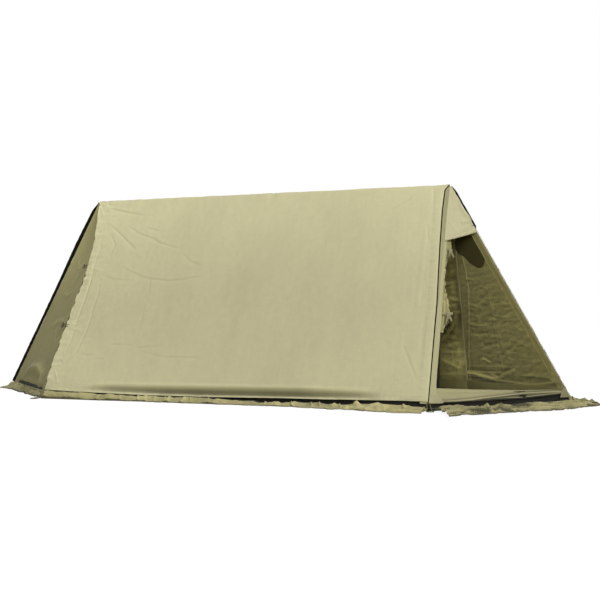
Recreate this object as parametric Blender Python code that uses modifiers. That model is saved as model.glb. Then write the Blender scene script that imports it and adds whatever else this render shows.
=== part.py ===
"""A two-person ridge tent with a wedge-shaped beak at each end.

Metres, +Z up, +X along the ridge, near side at -Y. The origin is on the ground under the middle of
the ridge. Two A-frames and a three-piece ridge pole carry the canvas. The right beak's near face is
an open doorway under a toggled hood. The left beak's near face is a closed door, held by toggles.
"""

import math

import bmesh
import bpy
from mathutils import Matrix, Vector

# Outline of the canvas
RIDGE_LENGTH = 2.10
HEM_WIDTH = 1.14
WALL_HEIGHT = 1.10
BEAK_DEPTH = 0.605
HEM_LIFT = 0.035
CANVAS = 0.002
PEAK_OPENING = 0.012

# How far the left edge of the near roof is drawn in between the peak and the hem
EDGE_BOW = 0.045
EDGE_BOW_LIFT = 1.6
EDGE_BOW_EASE = 1.5
EDGE_SET_BACK = 0.0011
EDGE_ROWS = 18

# Gap that touching pieces keep
GAP = 0.0003

# Doorway in the right beak: its side strip, hood and sill, measured on the slope of the face
STRIP_WIDTH_AT_HEM = 0.062
STRIP_WIDTH_AT_HOOD = 0.016
DOORWAY_HEIGHT = 0.842
HOOD_RISE = 0.059
HOOD_SWING_GAP = 0.0012
SILL_HEIGHT = 0.050
PATCH_THICKNESS = 0.001
PATCH_HEIGHT = 0.050
PATCH_WIDTH = 0.095
EDGE_TAPE_WIDTH = 0.045
EDGE_TAPE_INSET = 0.006

# Door curtain tied back behind the side strip: its gathered width at each drop below its top
CURTAIN_OUTLINE = [
    (0.000, 0.034),
    (0.056, 0.030),
    (0.110, 0.017),
    (0.170, 0.013),
    (0.240, 0.015),
    (0.310, 0.026),
    (0.370, 0.052),
    (0.401, 0.060),
    (0.440, 0.048),
    (0.504, 0.014),
]
CURTAIN_TOP_DROP = 0.041
CURTAIN_TUCK = 0.005
CURTAIN_SET_BACK = 0.0168
CURTAIN_PLEATS = 2.5
PLEAT_DEPTH = 0.0095
PLEAT_FULLNESS = 11.0
PLEAT_DRIFT = 0.4
TUCK_SHARE = 0.12
UPPER_TIE_DROP = 0.047
LOWER_TIE_DROP = 0.392
TIE_WIDTH = 0.012
TIE_THICKNESS = 0.001
TIE_TAIL = 0.055

# Mud flap on the ground round the hem
FLAP_UPSTAND = 0.020
FLAP_DROP = 0.018
FLAP_BEND = 0.030
FLAP_OVERRUN = 0.16
LEFT_CORNER_FLAP_REACH = 0.056
LEFT_TIP_FLAP_REACH = 0.091
RIGHT_SIDE_FLAP_REACH = 0.16
RIGHT_CORNER_FLAP_REACH = 0.27
RIGHT_TIP_FLAP_REACH = 0.114

# Poles
POLE_RADIUS = 0.011
POLE_WALL = 0.0015
SPIGOT_LENGTH = 0.10
APEX_INSET = 0.030
FOOT_INSET = 0.180
LEG_STUB = 0.036
RIDGE_STUB = 0.020
BRACKET_SPIGOT = 0.050
FOOT_CLEARANCE = 0.009
FOOT_WALL = 0.0018
FOOT_HEIGHT = 0.032
FOOT_FLOOR = 0.011

# Groundsheet
GROUNDSHEET = 0.002
GROUNDSHEET_OVERHANG = 0.008

# Toggles and their cord loops
TOGGLE_LENGTH = 0.036
TOGGLE_RADIUS = 0.004
TOGGLE_WAIST = 0.0028
DOOR_TOGGLE_INSET = 0.040
HOOD_TOGGLE_INSET = 0.018
STEM_RADIUS = 0.0014
LOOP_CORD_RADIUS = 0.0015
LOOP_ROOT = 0.022
LOOP_CLEARANCE = 0.001
DOOR_TOGGLE_HEIGHTS = {"upper": 0.784, "lower": 0.403}
HOOD_TOGGLE_RISE = 0.045

# Peg loops at the six corners of the hem
PEG_CORD_RADIUS = 0.0025
PEG_LOOP_REACH = 0.075
PEG_LOOP_WIDTH = 0.034

# Facets: sides round a pole and a toggle, and rows and columns of the curtain
TUBE_SIDES = 20
TOGGLE_SIDES = 12
CORD_BEVEL_STEPS = 2
CORD_POINTS = 30
CURTAIN_ROWS = 26
CURTAIN_COLUMNS = 30

RIDGE_Z = HEM_LIFT + WALL_HEIGHT
LEFT, RIGHT = -1, 1
NEAR, FAR = -1, 1
UP = Vector((0, 0, 1))


def clear_scene():
    for item in list(bpy.data.objects):
        bpy.data.objects.remove(item, do_unlink=True)
    for group in list(bpy.data.collections):
        bpy.data.collections.remove(group)


clear_scene()
TENT = bpy.data.collections.new("ridge_tent")
CUTTERS = bpy.data.collections.new("cutters")
bpy.context.scene.collection.children.link(TENT)
bpy.context.scene.collection.children.link(CUTTERS)

FINISHES = {
    "canvas": ((0.46, 0.43, 0.24), 0.85, 0.0),
    "tape": ((0.50, 0.47, 0.29), 0.80, 0.0),
    "pole": ((0.62, 0.63, 0.62), 0.35, 1.0),
    "bracket": ((0.30, 0.31, 0.30), 0.50, 1.0),
    "foot": ((0.03, 0.03, 0.03), 0.80, 0.0),
    "wood": ((0.10, 0.055, 0.02), 0.55, 0.0),
    "cord": ((0.16, 0.14, 0.07), 0.90, 0.0),
    "groundsheet": ((0.09, 0.10, 0.05), 0.60, 0.0),
}


def material_for(name, finish):
    colour, roughness, metallic = FINISHES[finish]
    material = bpy.data.materials.new(name)
    material.use_nodes = True
    shader = material.node_tree.nodes["Principled BSDF"]
    shader.inputs["Base Color"].default_value = (*colour, 1)
    shader.inputs["Roughness"].default_value = roughness
    shader.inputs["Metallic"].default_value = metallic
    return material


def add_object(name, data, finish, collection=None):
    piece = bpy.data.objects.new(name, data)
    (collection or TENT).objects.link(piece)
    data.materials.append(material_for(name, finish))
    return piece


def add_bmesh(name, bm, finish, collection=None):
    bmesh.ops.recalc_face_normals(bm, faces=bm.faces)
    mesh = bpy.data.meshes.new(name)
    bm.to_mesh(mesh)
    bm.free()
    return add_object(name, mesh, finish, collection)


def add_empty(name, location):
    empty = bpy.data.objects.new(name, None)
    empty.location = location
    TENT.objects.link(empty)
    bpy.context.view_layer.update()
    return empty


def hang_on(empty, *pieces):
    """Parents pieces that were built in place to an empty on their joint's axis."""
    for piece in pieces:
        piece.data.transform(empty.matrix_world.inverted() @ piece.matrix_world)
        piece.matrix_world = Matrix.Identity(4)
        piece.parent = empty


def boolean(piece, operand, operation):
    """Adds an exact Boolean with an operand that stays hidden in the cutters collection."""
    operand.hide_render = True
    operand.display_type = "WIRE"
    modifier = piece.modifiers.new(operation.lower(), "BOOLEAN")
    modifier.operation = operation
    modifier.solver = "EXACT"
    modifier.object = operand


def shade_round(mesh):
    mesh.shade_smooth()
    mesh.set_sharp_from_angle(angle=math.radians(35))


def frame_matrix(origin, z_axis, x_hint=Vector((0.3, 1, 0.2))):
    """A placement whose Z axis is z_axis, for turned pieces and tubes."""
    z = z_axis.normalized()
    x = (x_hint - z * x_hint.dot(z)).normalized()
    y = z.cross(x)
    return Matrix.Translation(origin) @ Matrix((x, y, z)).transposed().to_4x4()


# Canvas faces

def peak(end):
    return Vector((end * RIDGE_LENGTH / 2, 0, RIDGE_Z))


def corner(end, side):
    return Vector((end * RIDGE_LENGTH / 2, side * HEM_WIDTH / 2, HEM_LIFT))


def tip(end):
    return Vector((end * (RIDGE_LENGTH / 2 + BEAK_DEPTH), 0, HEM_LIFT))


class Face:
    """One flat face of the canvas. u runs along its hem, v up its slope and depth inwards."""

    def __init__(self, hem_start, hem_end, top):
        self.start = hem_start
        self.end = hem_end
        self.length = (hem_end - hem_start).length
        self.u_axis = (hem_end - hem_start).normalized()
        self.normal = self.u_axis.cross(top - hem_start).normalized()
        self.v_axis = self.normal.cross(self.u_axis)
        self.top = ((top - hem_start).dot(self.u_axis), (top - hem_start).dot(self.v_axis))
        self.outward = Vector((self.normal.x, self.normal.y, 0)).normalized()

    def point(self, u, v, depth=0.0):
        return self.start + self.u_axis * u + self.v_axis * v - self.normal * depth

    def left(self, v):
        """u of a beak face's first sloping edge at the height v."""
        return self.top[0] * v / self.top[1]

    def right(self, v):
        """u of a beak face's second sloping edge at the height v."""
        return self.length + (self.top[0] - self.length) * v / self.top[1]


NEAR_ROOF = Face(corner(LEFT, NEAR), corner(RIGHT, NEAR), peak(RIGHT))
RIGHT_NEAR = Face(corner(RIGHT, NEAR), tip(RIGHT), peak(RIGHT))
RIGHT_FAR = Face(tip(RIGHT), corner(RIGHT, FAR), peak(RIGHT))
FAR_ROOF = Face(corner(RIGHT, FAR), corner(LEFT, FAR), peak(LEFT))
LEFT_FAR = Face(corner(LEFT, FAR), tip(LEFT), peak(LEFT))
LEFT_NEAR = Face(tip(LEFT), corner(LEFT, NEAR), peak(LEFT))
RING = [NEAR_ROOF, RIGHT_NEAR, RIGHT_FAR, FAR_ROOF, LEFT_FAR, LEFT_NEAR]


def edge_bow(share):
    """How far the near roof's left edge is drawn in at a share of the way from hem to peak."""
    return EDGE_BOW * math.sin(math.pi * share ** EDGE_BOW_LIFT) ** EDGE_BOW_EASE


def drawn_edge(share):
    """A point of the near roof's left edge, where the left door meets it."""
    return NEAR_ROOF.point(edge_bow(share), NEAR_ROOF.top[1] * share)


def door_place(share, distance):
    """A point on the left door, a distance from the roof's edge along a level line."""
    front = tip(LEFT).lerp(peak(LEFT), share)
    edge = drawn_edge(share)
    return edge + (front - edge).normalized() * distance


def trim(bm, point, removed_side):
    """Cuts a closed mesh with a plane, drops what lies on removed_side and closes the cut."""
    everything = bm.verts[:] + bm.edges[:] + bm.faces[:]
    bmesh.ops.bisect_plane(bm, geom=everything, dist=1e-7, plane_co=point,
                           plane_no=removed_side, clear_outer=True)
    rim = [edge for edge in bm.edges if edge.is_boundary]
    if rim:
        bmesh.ops.holes_fill(bm, edges=rim)


def mitre(face, neighbour, edge_point):
    """The plane that halves the corner between two faces, set back by half a gap."""
    towards_face = (face.normal - neighbour.normal).normalized()
    return edge_point + towards_face * GAP / 2, -towards_face


def plate(name, face, outline, finish, thickness, depth=0.0, cuts=()):
    """A flat piece on a face: an outline in u and v, extruded inwards and trimmed to its seams."""
    bm = bmesh.new()
    rim = [bm.verts.new(face.point(u, v, depth)) for u, v in outline]
    outer = bm.faces.new(rim)
    inner = bmesh.ops.extrude_face_region(bm, geom=[outer])["geom"]
    moved = [item for item in inner if isinstance(item, bmesh.types.BMVert)]
    bmesh.ops.translate(bm, verts=moved, vec=-face.normal * thickness)
    for point, removed_side in cuts:
        trim(bm, point, removed_side)
    return add_bmesh(name, bm, finish)


def peak_cut():
    """The small opening that the beak faces leave under the ridge's ends."""
    return Vector((0, 0, RIDGE_Z - PEAK_OPENING)), UP


def near_roof():
    """The near roof panel, whose left edge is drawn in by the door's toggles."""
    face = NEAR_ROOF
    top = face.top[1]
    outline = [(EDGE_SET_BACK, 0), (face.length, 0), (face.length, top)]
    for row in range(EDGE_ROWS, 0, -1):
        share = row / EDGE_ROWS
        outline.append((edge_bow(share) + EDGE_SET_BACK, top * share))
    cuts = [
        mitre(face, FAR_ROOF, peak(RIGHT)),
        mitre(face, RIGHT_NEAR, face.end),
    ]
    return plate("roof_panel_near", face, outline, "canvas", CANVAS, cuts=cuts)


def far_roof():
    face = FAR_ROOF
    top = face.top[1]
    outline = [(0, 0), (face.length, 0), (face.length, top), (0, top)]
    cuts = [
        mitre(face, NEAR_ROOF, peak(RIGHT)),
        mitre(face, RIGHT_FAR, face.start),
        mitre(face, LEFT_FAR, face.end),
    ]
    return plate("roof_panel_far", face, outline, "canvas", CANVAS, cuts=cuts)


def beak_face(name, face, before, after):
    outline = [(0, 0), (face.length, 0), face.top]
    cuts = [
        mitre(face, before, face.start),
        mitre(face, after, face.end),
        peak_cut(),
    ]
    return plate(name, face, outline, "canvas", CANVAS, cuts=cuts)


def left_door():
    """The closed door, ruled from the left beak's front edge to the roof's drawn-in edge."""
    overrun = 4 * CANVAS
    top_share = 1 - PEAK_OPENING / WALL_HEIGHT
    outer = []
    inner = []
    for row in range(EDGE_ROWS + 1):
        share = top_share * row / EDGE_ROWS
        front = tip(LEFT).lerp(peak(LEFT), share)
        level = (drawn_edge(share) - front).normalized()
        start = front - level * overrun
        end = drawn_edge(share) - level * EDGE_SET_BACK
        outer.append((start, start.lerp(end, 0.5), end))
    for row, line in enumerate(outer):
        above = outer[min(row + 1, EDGE_ROWS)]
        below = outer[max(row - 1, 0)]
        level = (line[2] - line[0]).normalized()
        normals = [level.cross(high - low).normalized() for low, high in zip(below, above)]
        inner.append([point - normal * CANVAS for point, normal in zip(line, normals)])
    bm = closed_sheet(outer, inner)
    trim(bm, *mitre(LEFT_NEAR, LEFT_FAR, tip(LEFT)))
    return add_bmesh("left_door", bm, "canvas")


def closed_sheet(outer, inner):
    """A closed mesh between two grids of points, row for row."""
    bm = bmesh.new()
    grids = [[[bm.verts.new(point) for point in line] for line in grid] for grid in (outer, inner)]
    for grid in grids:
        for low, high in zip(grid, grid[1:]):
            for i in range(len(low) - 1):
                bm.faces.new((low[i], low[i + 1], high[i + 1], high[i]))
    rims = []
    for grid in grids:
        sides = [line[-1] for line in grid[1:]] + [line[0] for line in grid[-2:0:-1]]
        rims.append(grid[0] + sides[:len(grid) - 2] + grid[-1][::-1] + sides[len(grid) - 1:])
    for a, b, c, d in zip(rims[0], rims[0][1:] + rims[0][:1], rims[1][1:] + rims[1][:1], rims[1]):
        bm.faces.new((a, b, c, d))
    return bm


def hood_line(u):
    """Height of the hood's lower edge, which rises towards the beak's front edge."""
    start = RIGHT_NEAR.left(DOORWAY_HEIGHT)
    run = RIGHT_NEAR.right(DOORWAY_HEIGHT + HOOD_RISE) - start
    return DOORWAY_HEIGHT + HOOD_RISE * (u - start) / run


def strip_edge(v):
    """u of the side strip's free edge, where the doorway starts."""
    at_hem = STRIP_WIDTH_AT_HEM
    at_hood = RIGHT_NEAR.left(DOORWAY_HEIGHT) + STRIP_WIDTH_AT_HOOD
    return at_hem + (at_hood - at_hem) * v / DOORWAY_HEIGHT


def doorway_face():
    """The right beak's near face: a side strip, a hood, a sill and their corner patches."""
    face = RIGHT_NEAR
    roof_seam = mitre(face, NEAR_ROOF, face.start)
    front_seam = mitre(face, RIGHT_FAR, face.end)
    hood_left = face.left(DOORWAY_HEIGHT)
    hood_right_height = DOORWAY_HEIGHT + HOOD_RISE
    strip_top = strip_edge(DOORWAY_HEIGHT)

    strip = [
        (0, 0),
        (STRIP_WIDTH_AT_HEM, 0),
        (strip_top, hood_line(strip_top) - HOOD_SWING_GAP),
        (hood_left, DOORWAY_HEIGHT - HOOD_SWING_GAP),
    ]
    plate("right_side_strip", face, strip, "canvas", CANVAS, cuts=[roof_seam])

    sill = [
        (STRIP_WIDTH_AT_HEM + GAP, 0),
        (face.length, 0),
        (face.right(SILL_HEIGHT), SILL_HEIGHT),
        (strip_edge(SILL_HEIGHT) + GAP, SILL_HEIGHT),
    ]
    plate("right_door_sill", face, sill, "canvas", CANVAS, cuts=[front_seam])

    hood = [
        (hood_left, DOORWAY_HEIGHT),
        (face.right(hood_right_height), hood_right_height),
        face.top,
    ]
    return plate("right_hood", face, hood, "canvas", CANVAS,
                 cuts=[roof_seam, front_seam, peak_cut()])


def corner_patches():
    """Thin reinforcing patches sewn on the outside at both lower corners of the doorway."""
    face = RIGHT_NEAR
    lift = -PATCH_THICKNESS - GAP
    margin = 2 * PATCH_THICKNESS
    near_patch = [
        (margin, margin),
        (PATCH_WIDTH, margin),
        (0.75 * PATCH_WIDTH, PATCH_HEIGHT),
        (face.left(PATCH_HEIGHT) + margin, PATCH_HEIGHT),
    ]
    plate("right_corner_patch_near", face, near_patch, "tape", PATCH_THICKNESS, depth=lift)
    front_patch = [
        (face.right(margin) - 0.7 * PATCH_WIDTH, margin),
        (face.right(margin) - margin, margin),
        (face.right(PATCH_HEIGHT) - margin, PATCH_HEIGHT),
    ]
    plate("right_corner_patch_front", face, front_patch, "tape", PATCH_THICKNESS, depth=lift)


def front_edge_tape():
    """The broad inner hem along the front edge of the right beak's far face."""
    face = RIGHT_FAR
    low = SILL_HEIGHT
    high = DOORWAY_HEIGHT
    outline = [
        (face.left(low) + EDGE_TAPE_INSET, low),
        (face.left(low) + EDGE_TAPE_INSET + EDGE_TAPE_WIDTH, low),
        (face.left(high) + EDGE_TAPE_INSET + EDGE_TAPE_WIDTH, high),
        (face.left(high) + EDGE_TAPE_INSET, high),
    ]
    plate("right_front_edge_tape", face, outline, "tape", PATCH_THICKNESS, depth=CANVAS + GAP)


# Door curtain

def smooth_route(points, count):
    """count points evenly along a smooth curve through the given points."""
    padded = [points[0] * 2 - points[1], *points, points[-1] * 2 - points[-2]]
    dense = []
    for a, b, c, d in zip(padded, padded[1:], padded[2:], padded[3:]):
        for step in range(24):
            t = step / 24
            dense.append(0.5 * (2 * b + (c - a) * t + (2 * a - 5 * b + 4 * c - d) * t * t
                                + (3 * b - a - 3 * c + d) * t ** 3))
    dense.append(points[-1])
    lengths = [0.0]
    for a, b in zip(dense, dense[1:]):
        lengths.append(lengths[-1] + (b - a).length)
    result = []
    place = 0
    for i in range(count):
        target = lengths[-1] * i / (count - 1)
        while place < len(dense) - 2 and lengths[place + 1] < target:
            place += 1
        span = lengths[place + 1] - lengths[place]
        share = (target - lengths[place]) / span if span else 0
        result.append(dense[place].lerp(dense[place + 1], min(share, 1)))
    return result


def curtain_edge_at(rows):
    """Points down the gathered curtain's free edge, as u and v on the doorway's face."""
    top = DOORWAY_HEIGHT + HOOD_RISE - CURTAIN_TOP_DROP
    edge = [Vector((strip_edge(top - drop) + width, top - drop, 0)) for drop, width in CURTAIN_OUTLINE]
    return smooth_route(edge, rows)


def door_curtain():
    """The door's canvas, gathered in pleats that run from the hood to the lower tie."""
    bm = bmesh.new()
    grid = []
    tuck_depth = CANVAS + GAP + CANVAS / 2
    for row, edge in enumerate(curtain_edge_at(CURTAIN_ROWS)):
        left = strip_edge(edge.y) - CURTAIN_TUCK
        width = edge.x - left
        wave = width / CURTAIN_PLEATS
        swing = min(PLEAT_DEPTH, PLEAT_FULLNESS * wave * wave)
        drift = PLEAT_DRIFT * math.sin(2 * math.pi * row / CURTAIN_ROWS)
        line = []
        for column in range(CURTAIN_COLUMNS + 1):
            across = column / CURTAIN_COLUMNS
            out = max(0.0, (across * width - CURTAIN_TUCK) / width)
            blend = min(1.0, out / TUCK_SHARE)
            pleat = -math.cos(2 * math.pi * CURTAIN_PLEATS * out + drift)
            settled = CURTAIN_SET_BACK + swing * pleat
            depth = tuck_depth + (settled - tuck_depth) * blend * blend * (3 - 2 * blend)
            line.append(bm.verts.new(RIGHT_NEAR.point(left + across * width, edge.y, depth)))
        grid.append(line)
    for upper, lower in zip(grid, grid[1:]):
        for i in range(CURTAIN_COLUMNS):
            bm.faces.new((upper[i], upper[i + 1], lower[i + 1], lower[i]))
    curtain = add_bmesh("right_door_curtain", bm, "canvas")
    shell = curtain.modifiers.new("thickness", "SOLIDIFY")
    shell.thickness = CANVAS
    shell.offset = 0
    shell.use_even_offset = False
    return curtain


def curtain_right(v):
    """u of the curtain's free edge at the height v."""
    edge = curtain_edge_at(120)
    return min(edge, key=lambda point: abs(point.y - v)).x


def raised_plate(name, points, vector, finish, collection=None):
    """A flat outline of points in space, extruded along a vector."""
    bm = bmesh.new()
    base = bm.faces.new([bm.verts.new(point) for point in points])
    raised = bmesh.ops.extrude_face_region(bm, geom=[base])["geom"]
    moved = [item for item in raised if isinstance(item, bmesh.types.BMVert)]
    bmesh.ops.translate(bm, verts=moved, vec=vector)
    return add_bmesh(name, bm, finish, collection)


def door_tie(name, drop):
    """A tape round the gathered curtain, open at the strip that it is sewn to, with a bow in front."""
    v = DOORWAY_HEIGHT - drop
    thick = TIE_THICKNESS
    front = CANVAS + GAP
    back = CURTAIN_SET_BACK + PLEAT_DEPTH + CANVAS + GAP
    start = strip_edge(v) + GAP + thick
    side = curtain_right(v) + CANVAS + 4 * thick
    back_start = start + TIE_WIDTH + 4 * thick
    outline = [
        (start, front - thick),
        (side + thick, front - thick),
        (side + thick, back + thick),
        (back_start, back + thick),
        (back_start, back),
        (side, back),
        (side, front),
        (start, front),
    ]
    low = v - TIE_WIDTH / 2
    band = raised_plate(name, [RIGHT_NEAR.point(u, low, depth) for u, depth in outline],
                        RIGHT_NEAR.v_axis * TIE_WIDTH, "tape")
    bow = raised_plate(f"{name}_bow", tie_bow((start + side) / 2, v, front - 1.8 * thick),
                       -RIGHT_NEAR.normal * thick, "tape", CUTTERS)
    boolean(band, bow, "UNION")
    return band


def tie_bow(u, v, depth):
    """Two tails that hang from a knot, as one flat outline in front of the tape."""
    knot = TIE_WIDTH / 2
    outline = [
        (u - 0.9 * knot, v + 0.8 * knot),
        (u - 0.9 * knot, v - 0.8 * knot),
        (u - 2 * knot, v - TIE_TAIL),
        (u - 0.9 * knot, v - TIE_TAIL),
        (u, v - 0.8 * knot),
        (u + 0.9 * knot, v - 0.8 * TIE_TAIL),
        (u + 2 * knot, v - 0.8 * TIE_TAIL),
        (u + 0.9 * knot, v - 0.8 * knot),
        (u + 0.9 * knot, v + 0.8 * knot),
    ]
    return [RIGHT_NEAR.point(a, b, depth) for a, b in outline]


# Mud flaps

def flap_section(face, reach):
    """The closed section of a mud flap, as outward and height pairs from the hem's outer edge.

    It stands behind the canvas, drops below the hem and bends out to lie flat on the ground.
    """
    slope = math.atan2(face.normal.z, Vector((face.normal.x, face.normal.y)).length)
    seat = (CANVAS + GAP + CANVAS / 2) / math.cos(slope)

    def behind(height):
        return -(height - HEM_LIFT) * math.tan(slope) - seat

    upstand = HEM_LIFT + FLAP_UPSTAND
    bend = HEM_LIFT - FLAP_DROP
    line = [
        Vector((behind(upstand), upstand)),
        Vector((behind(bend), bend)),
        Vector((FLAP_BEND, CANVAS / 2)),
        Vector((reach, CANVAS / 2)),
    ]
    sides = [[], []]
    for i, point in enumerate(line):
        before = (point - line[i - 1]).normalized() if i else None
        after = (line[i + 1] - point).normalized() if i < len(line) - 1 else None
        along = ((before or after) + (after or before)).normalized()
        across = Vector((-along.y, along.x))
        widen = CANVAS / 2 / max(0.3, along.dot(before or after))
        sides[0].append(point + across * widen)
        sides[1].append(point - across * widen)
    return sides[0] + sides[1][::-1]


def mud_flap(name, face, before, after, start_reach, end_reach):
    """A flap lofted past both ends of a hem, between two reaches, and mitred to the flaps beside it."""
    growth = (end_reach - start_reach) / face.length
    bm = bmesh.new()
    rings = []
    for u in (-FLAP_OVERRUN, face.length + FLAP_OVERRUN):
        reach = start_reach + growth * u
        foot = face.start + face.u_axis * u
        ring = []
        for out, height in flap_section(face, reach):
            place = foot + face.outward * out
            ring.append(bm.verts.new((place.x, place.y, height)))
        rings.append(ring)
    count = len(rings[0])
    for i in range(count):
        j = (i + 1) % count
        bm.faces.new((rings[0][i], rings[0][j], rings[1][j], rings[1][i]))
    bm.faces.new(rings[0])
    bm.faces.new(rings[1])
    trim(bm, *mitre(face, before, face.start))
    trim(bm, *mitre(face, after, face.end))
    return add_bmesh(name, bm, "canvas")


def mud_flaps():
    reaches = {
        "near": (NEAR_ROOF, LEFT_CORNER_FLAP_REACH, RIGHT_SIDE_FLAP_REACH),
        "right_near": (RIGHT_NEAR, RIGHT_CORNER_FLAP_REACH, RIGHT_TIP_FLAP_REACH),
        "right_far": (RIGHT_FAR, RIGHT_TIP_FLAP_REACH, RIGHT_CORNER_FLAP_REACH),
        "far": (FAR_ROOF, RIGHT_SIDE_FLAP_REACH, LEFT_CORNER_FLAP_REACH),
        "left_far": (LEFT_FAR, LEFT_CORNER_FLAP_REACH, LEFT_TIP_FLAP_REACH),
        "left_near": (LEFT_NEAR, LEFT_TIP_FLAP_REACH, LEFT_CORNER_FLAP_REACH),
    }
    for i, (label, (face, start_reach, end_reach)) in enumerate(reaches.items()):
        mud_flap(f"mud_flap_{label}", face, RING[i - 1], RING[(i + 1) % len(RING)], start_reach,
                 end_reach)


def groundsheet():
    """A flat sheet on the ground that reaches just past the wall lines, under the poles' feet."""
    half_x = RIDGE_LENGTH / 2 + BEAK_DEPTH + HEM_LIFT
    half_y = HEM_WIDTH / 2 + HEM_LIFT
    bm = bmesh.new()
    bmesh.ops.create_cube(bm, size=1)
    bmesh.ops.scale(bm, verts=bm.verts, vec=(4 * half_x, 4 * half_y, GROUNDSHEET))
    bmesh.ops.translate(bm, verts=bm.verts, vec=(0, 0, GROUNDSHEET / 2))
    for face in RING:
        trim(bm, face.start + face.outward * GROUNDSHEET_OVERHANG, face.outward)
    return add_bmesh("groundsheet", bm, "groundsheet")


# Frame

def tube(name, start, end, finish="pole"):
    """A round pole section with its real wall, from start to end."""
    length = (end - start).length
    inner = POLE_RADIUS - POLE_WALL
    profile = [(POLE_RADIUS, length), (POLE_RADIUS, 0), (inner, 0), (inner, length)]
    mesh = bpy.data.meshes.new(name)
    edges = [(0, 1), (1, 2), (2, 3), (3, 0)]
    mesh.from_pydata([(radius, 0, height) for radius, height in profile], edges, [])
    section = add_object(name, mesh, finish)
    section.matrix_world = frame_matrix(start, end - start)
    turn_profile(section, TUBE_SIDES)
    return section


def turn_profile(piece, sides):
    screw = piece.modifiers.new("turn", "SCREW")
    screw.axis = "Z"
    screw.steps = sides
    screw.render_steps = sides
    screw.use_merge_vertices = True
    screw.merge_threshold = 0.00001


def rod_bmesh(radius, length, chamfer=0.0):
    bm = bmesh.new()
    bmesh.ops.create_cone(bm, cap_ends=True, segments=TUBE_SIDES, radius1=radius, radius2=radius,
                          depth=length)
    bmesh.ops.translate(bm, verts=bm.verts, vec=(0, 0, length / 2))
    if chamfer:
        rims = [edge for edge in bm.edges if abs(edge.verts[0].co.z - edge.verts[1].co.z) < 1e-9]
        bmesh.ops.bevel(bm, geom=rims, offset=chamfer, segments=1, affect="EDGES")
    return bm


def rod(name, start, end, radius, finish="pole", collection=None, chamfer=0.0):
    bm = rod_bmesh(radius, (end - start).length, chamfer)
    piece = add_bmesh(name, bm, finish, collection)
    piece.matrix_world = frame_matrix(start, end - start)
    return piece


def apex(end):
    """The point where an A-frame's legs and the ridge pole meet, tight under the canvas."""
    seat = POLE_RADIUS + GAP + CANVAS
    drop = seat / NEAR_ROOF.normal.z
    return Vector((end * (RIDGE_LENGTH / 2 - APEX_INSET), 0, RIDGE_Z - drop))


def leg_foot(end, side):
    """The point on the groundsheet that a leg stands on, drawn in from the tent's end."""
    slope = math.atan2(NEAR_ROOF.normal.z, -NEAR_ROOF.normal.y)
    level = GROUNDSHEET + GAP
    wall = HEM_WIDTH / 2 + (HEM_LIFT - level) * math.tan(slope)
    inset = (CANVAS + FOOT_CLEARANCE + POLE_RADIUS) / math.cos(slope)
    return Vector((end * (RIDGE_LENGTH / 2 - FOOT_INSET), side * (wall - inset), level))


SPIGOT_RADIUS = POLE_RADIUS - POLE_WALL - GAP
END_NAMES = {LEFT: "left", RIGHT: "right"}
SIDE_NAMES = {NEAR: "near", FAR: "far"}


def ridge_pole():
    start = apex(LEFT) + Vector((RIDGE_STUB + GAP, 0, 0))
    end = apex(RIGHT) - Vector((RIDGE_STUB + GAP, 0, 0))
    span = (end - start) / 3
    half_gap = Vector((GAP / 2, 0, 0))
    tube("ridge_pole_left", start, start + span - half_gap)
    tube("ridge_pole_middle", start + span + half_gap, start + 2 * span - half_gap)
    tube("ridge_pole_right", start + 2 * span + half_gap, end)
    reach = Vector((SPIGOT_LENGTH / 2, 0, 0))
    for name, joint in (("left", start + span), ("right", start + 2 * span)):
        rod(f"ridge_spigot_{name}", joint - reach, joint + reach, SPIGOT_RADIUS, chamfer=0.001)


def leg(end, side):
    """One A-frame leg: two tube sections on an inner spigot, and a rubber foot."""
    label = f"{END_NAMES[end]}_{SIDE_NAMES[side]}"
    top = apex(end)
    foot = leg_foot(end, side)
    axis = (foot - top).normalized()
    start = top + axis * (LEG_STUB + GAP)
    finish = foot - axis * (FOOT_FLOOR + GAP)
    joint = (start + finish) / 2
    tube(f"leg_{label}_upper", start, joint - axis * GAP / 2)
    tube(f"leg_{label}_lower", joint + axis * GAP / 2, finish)
    reach = axis * SPIGOT_LENGTH / 2
    rod(f"leg_spigot_{label}", joint - reach, joint + reach, SPIGOT_RADIUS, chamfer=0.001)
    leg_foot_cap(f"leg_foot_{label}", foot, -axis)


def leg_foot_cap(name, foot, upwards):
    """A rubber cup on the leg's end, cut flat where it stands."""
    outer = POLE_RADIUS + GAP + FOOT_WALL
    bore = POLE_RADIUS + GAP
    below = outer
    profile = [
        (0, FOOT_FLOOR), (bore, FOOT_FLOOR), (bore, FOOT_HEIGHT), (outer - 0.0006, FOOT_HEIGHT),
        (outer, FOOT_HEIGHT - 0.002), (outer, -below), (0, -below),
    ]
    bm = bmesh.new()
    verts = [bm.verts.new((radius, 0, height)) for radius, height in profile]
    edges = [bm.edges.new(pair) for pair in zip(verts, verts[1:])]
    bmesh.ops.spin(bm, geom=verts + edges, cent=(0, 0, 0), axis=(0, 0, 1), angle=2 * math.pi,
                   steps=TUBE_SIDES, use_merge=True)
    bmesh.ops.remove_doubles(bm, verts=bm.verts, dist=1e-6)
    bm.transform(frame_matrix(foot, upwards))
    trim(bm, Vector((0, 0, foot.z)), -UP)
    cap = add_bmesh(name, bm, "foot")
    shade_round(cap.data)
    return cap


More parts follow.
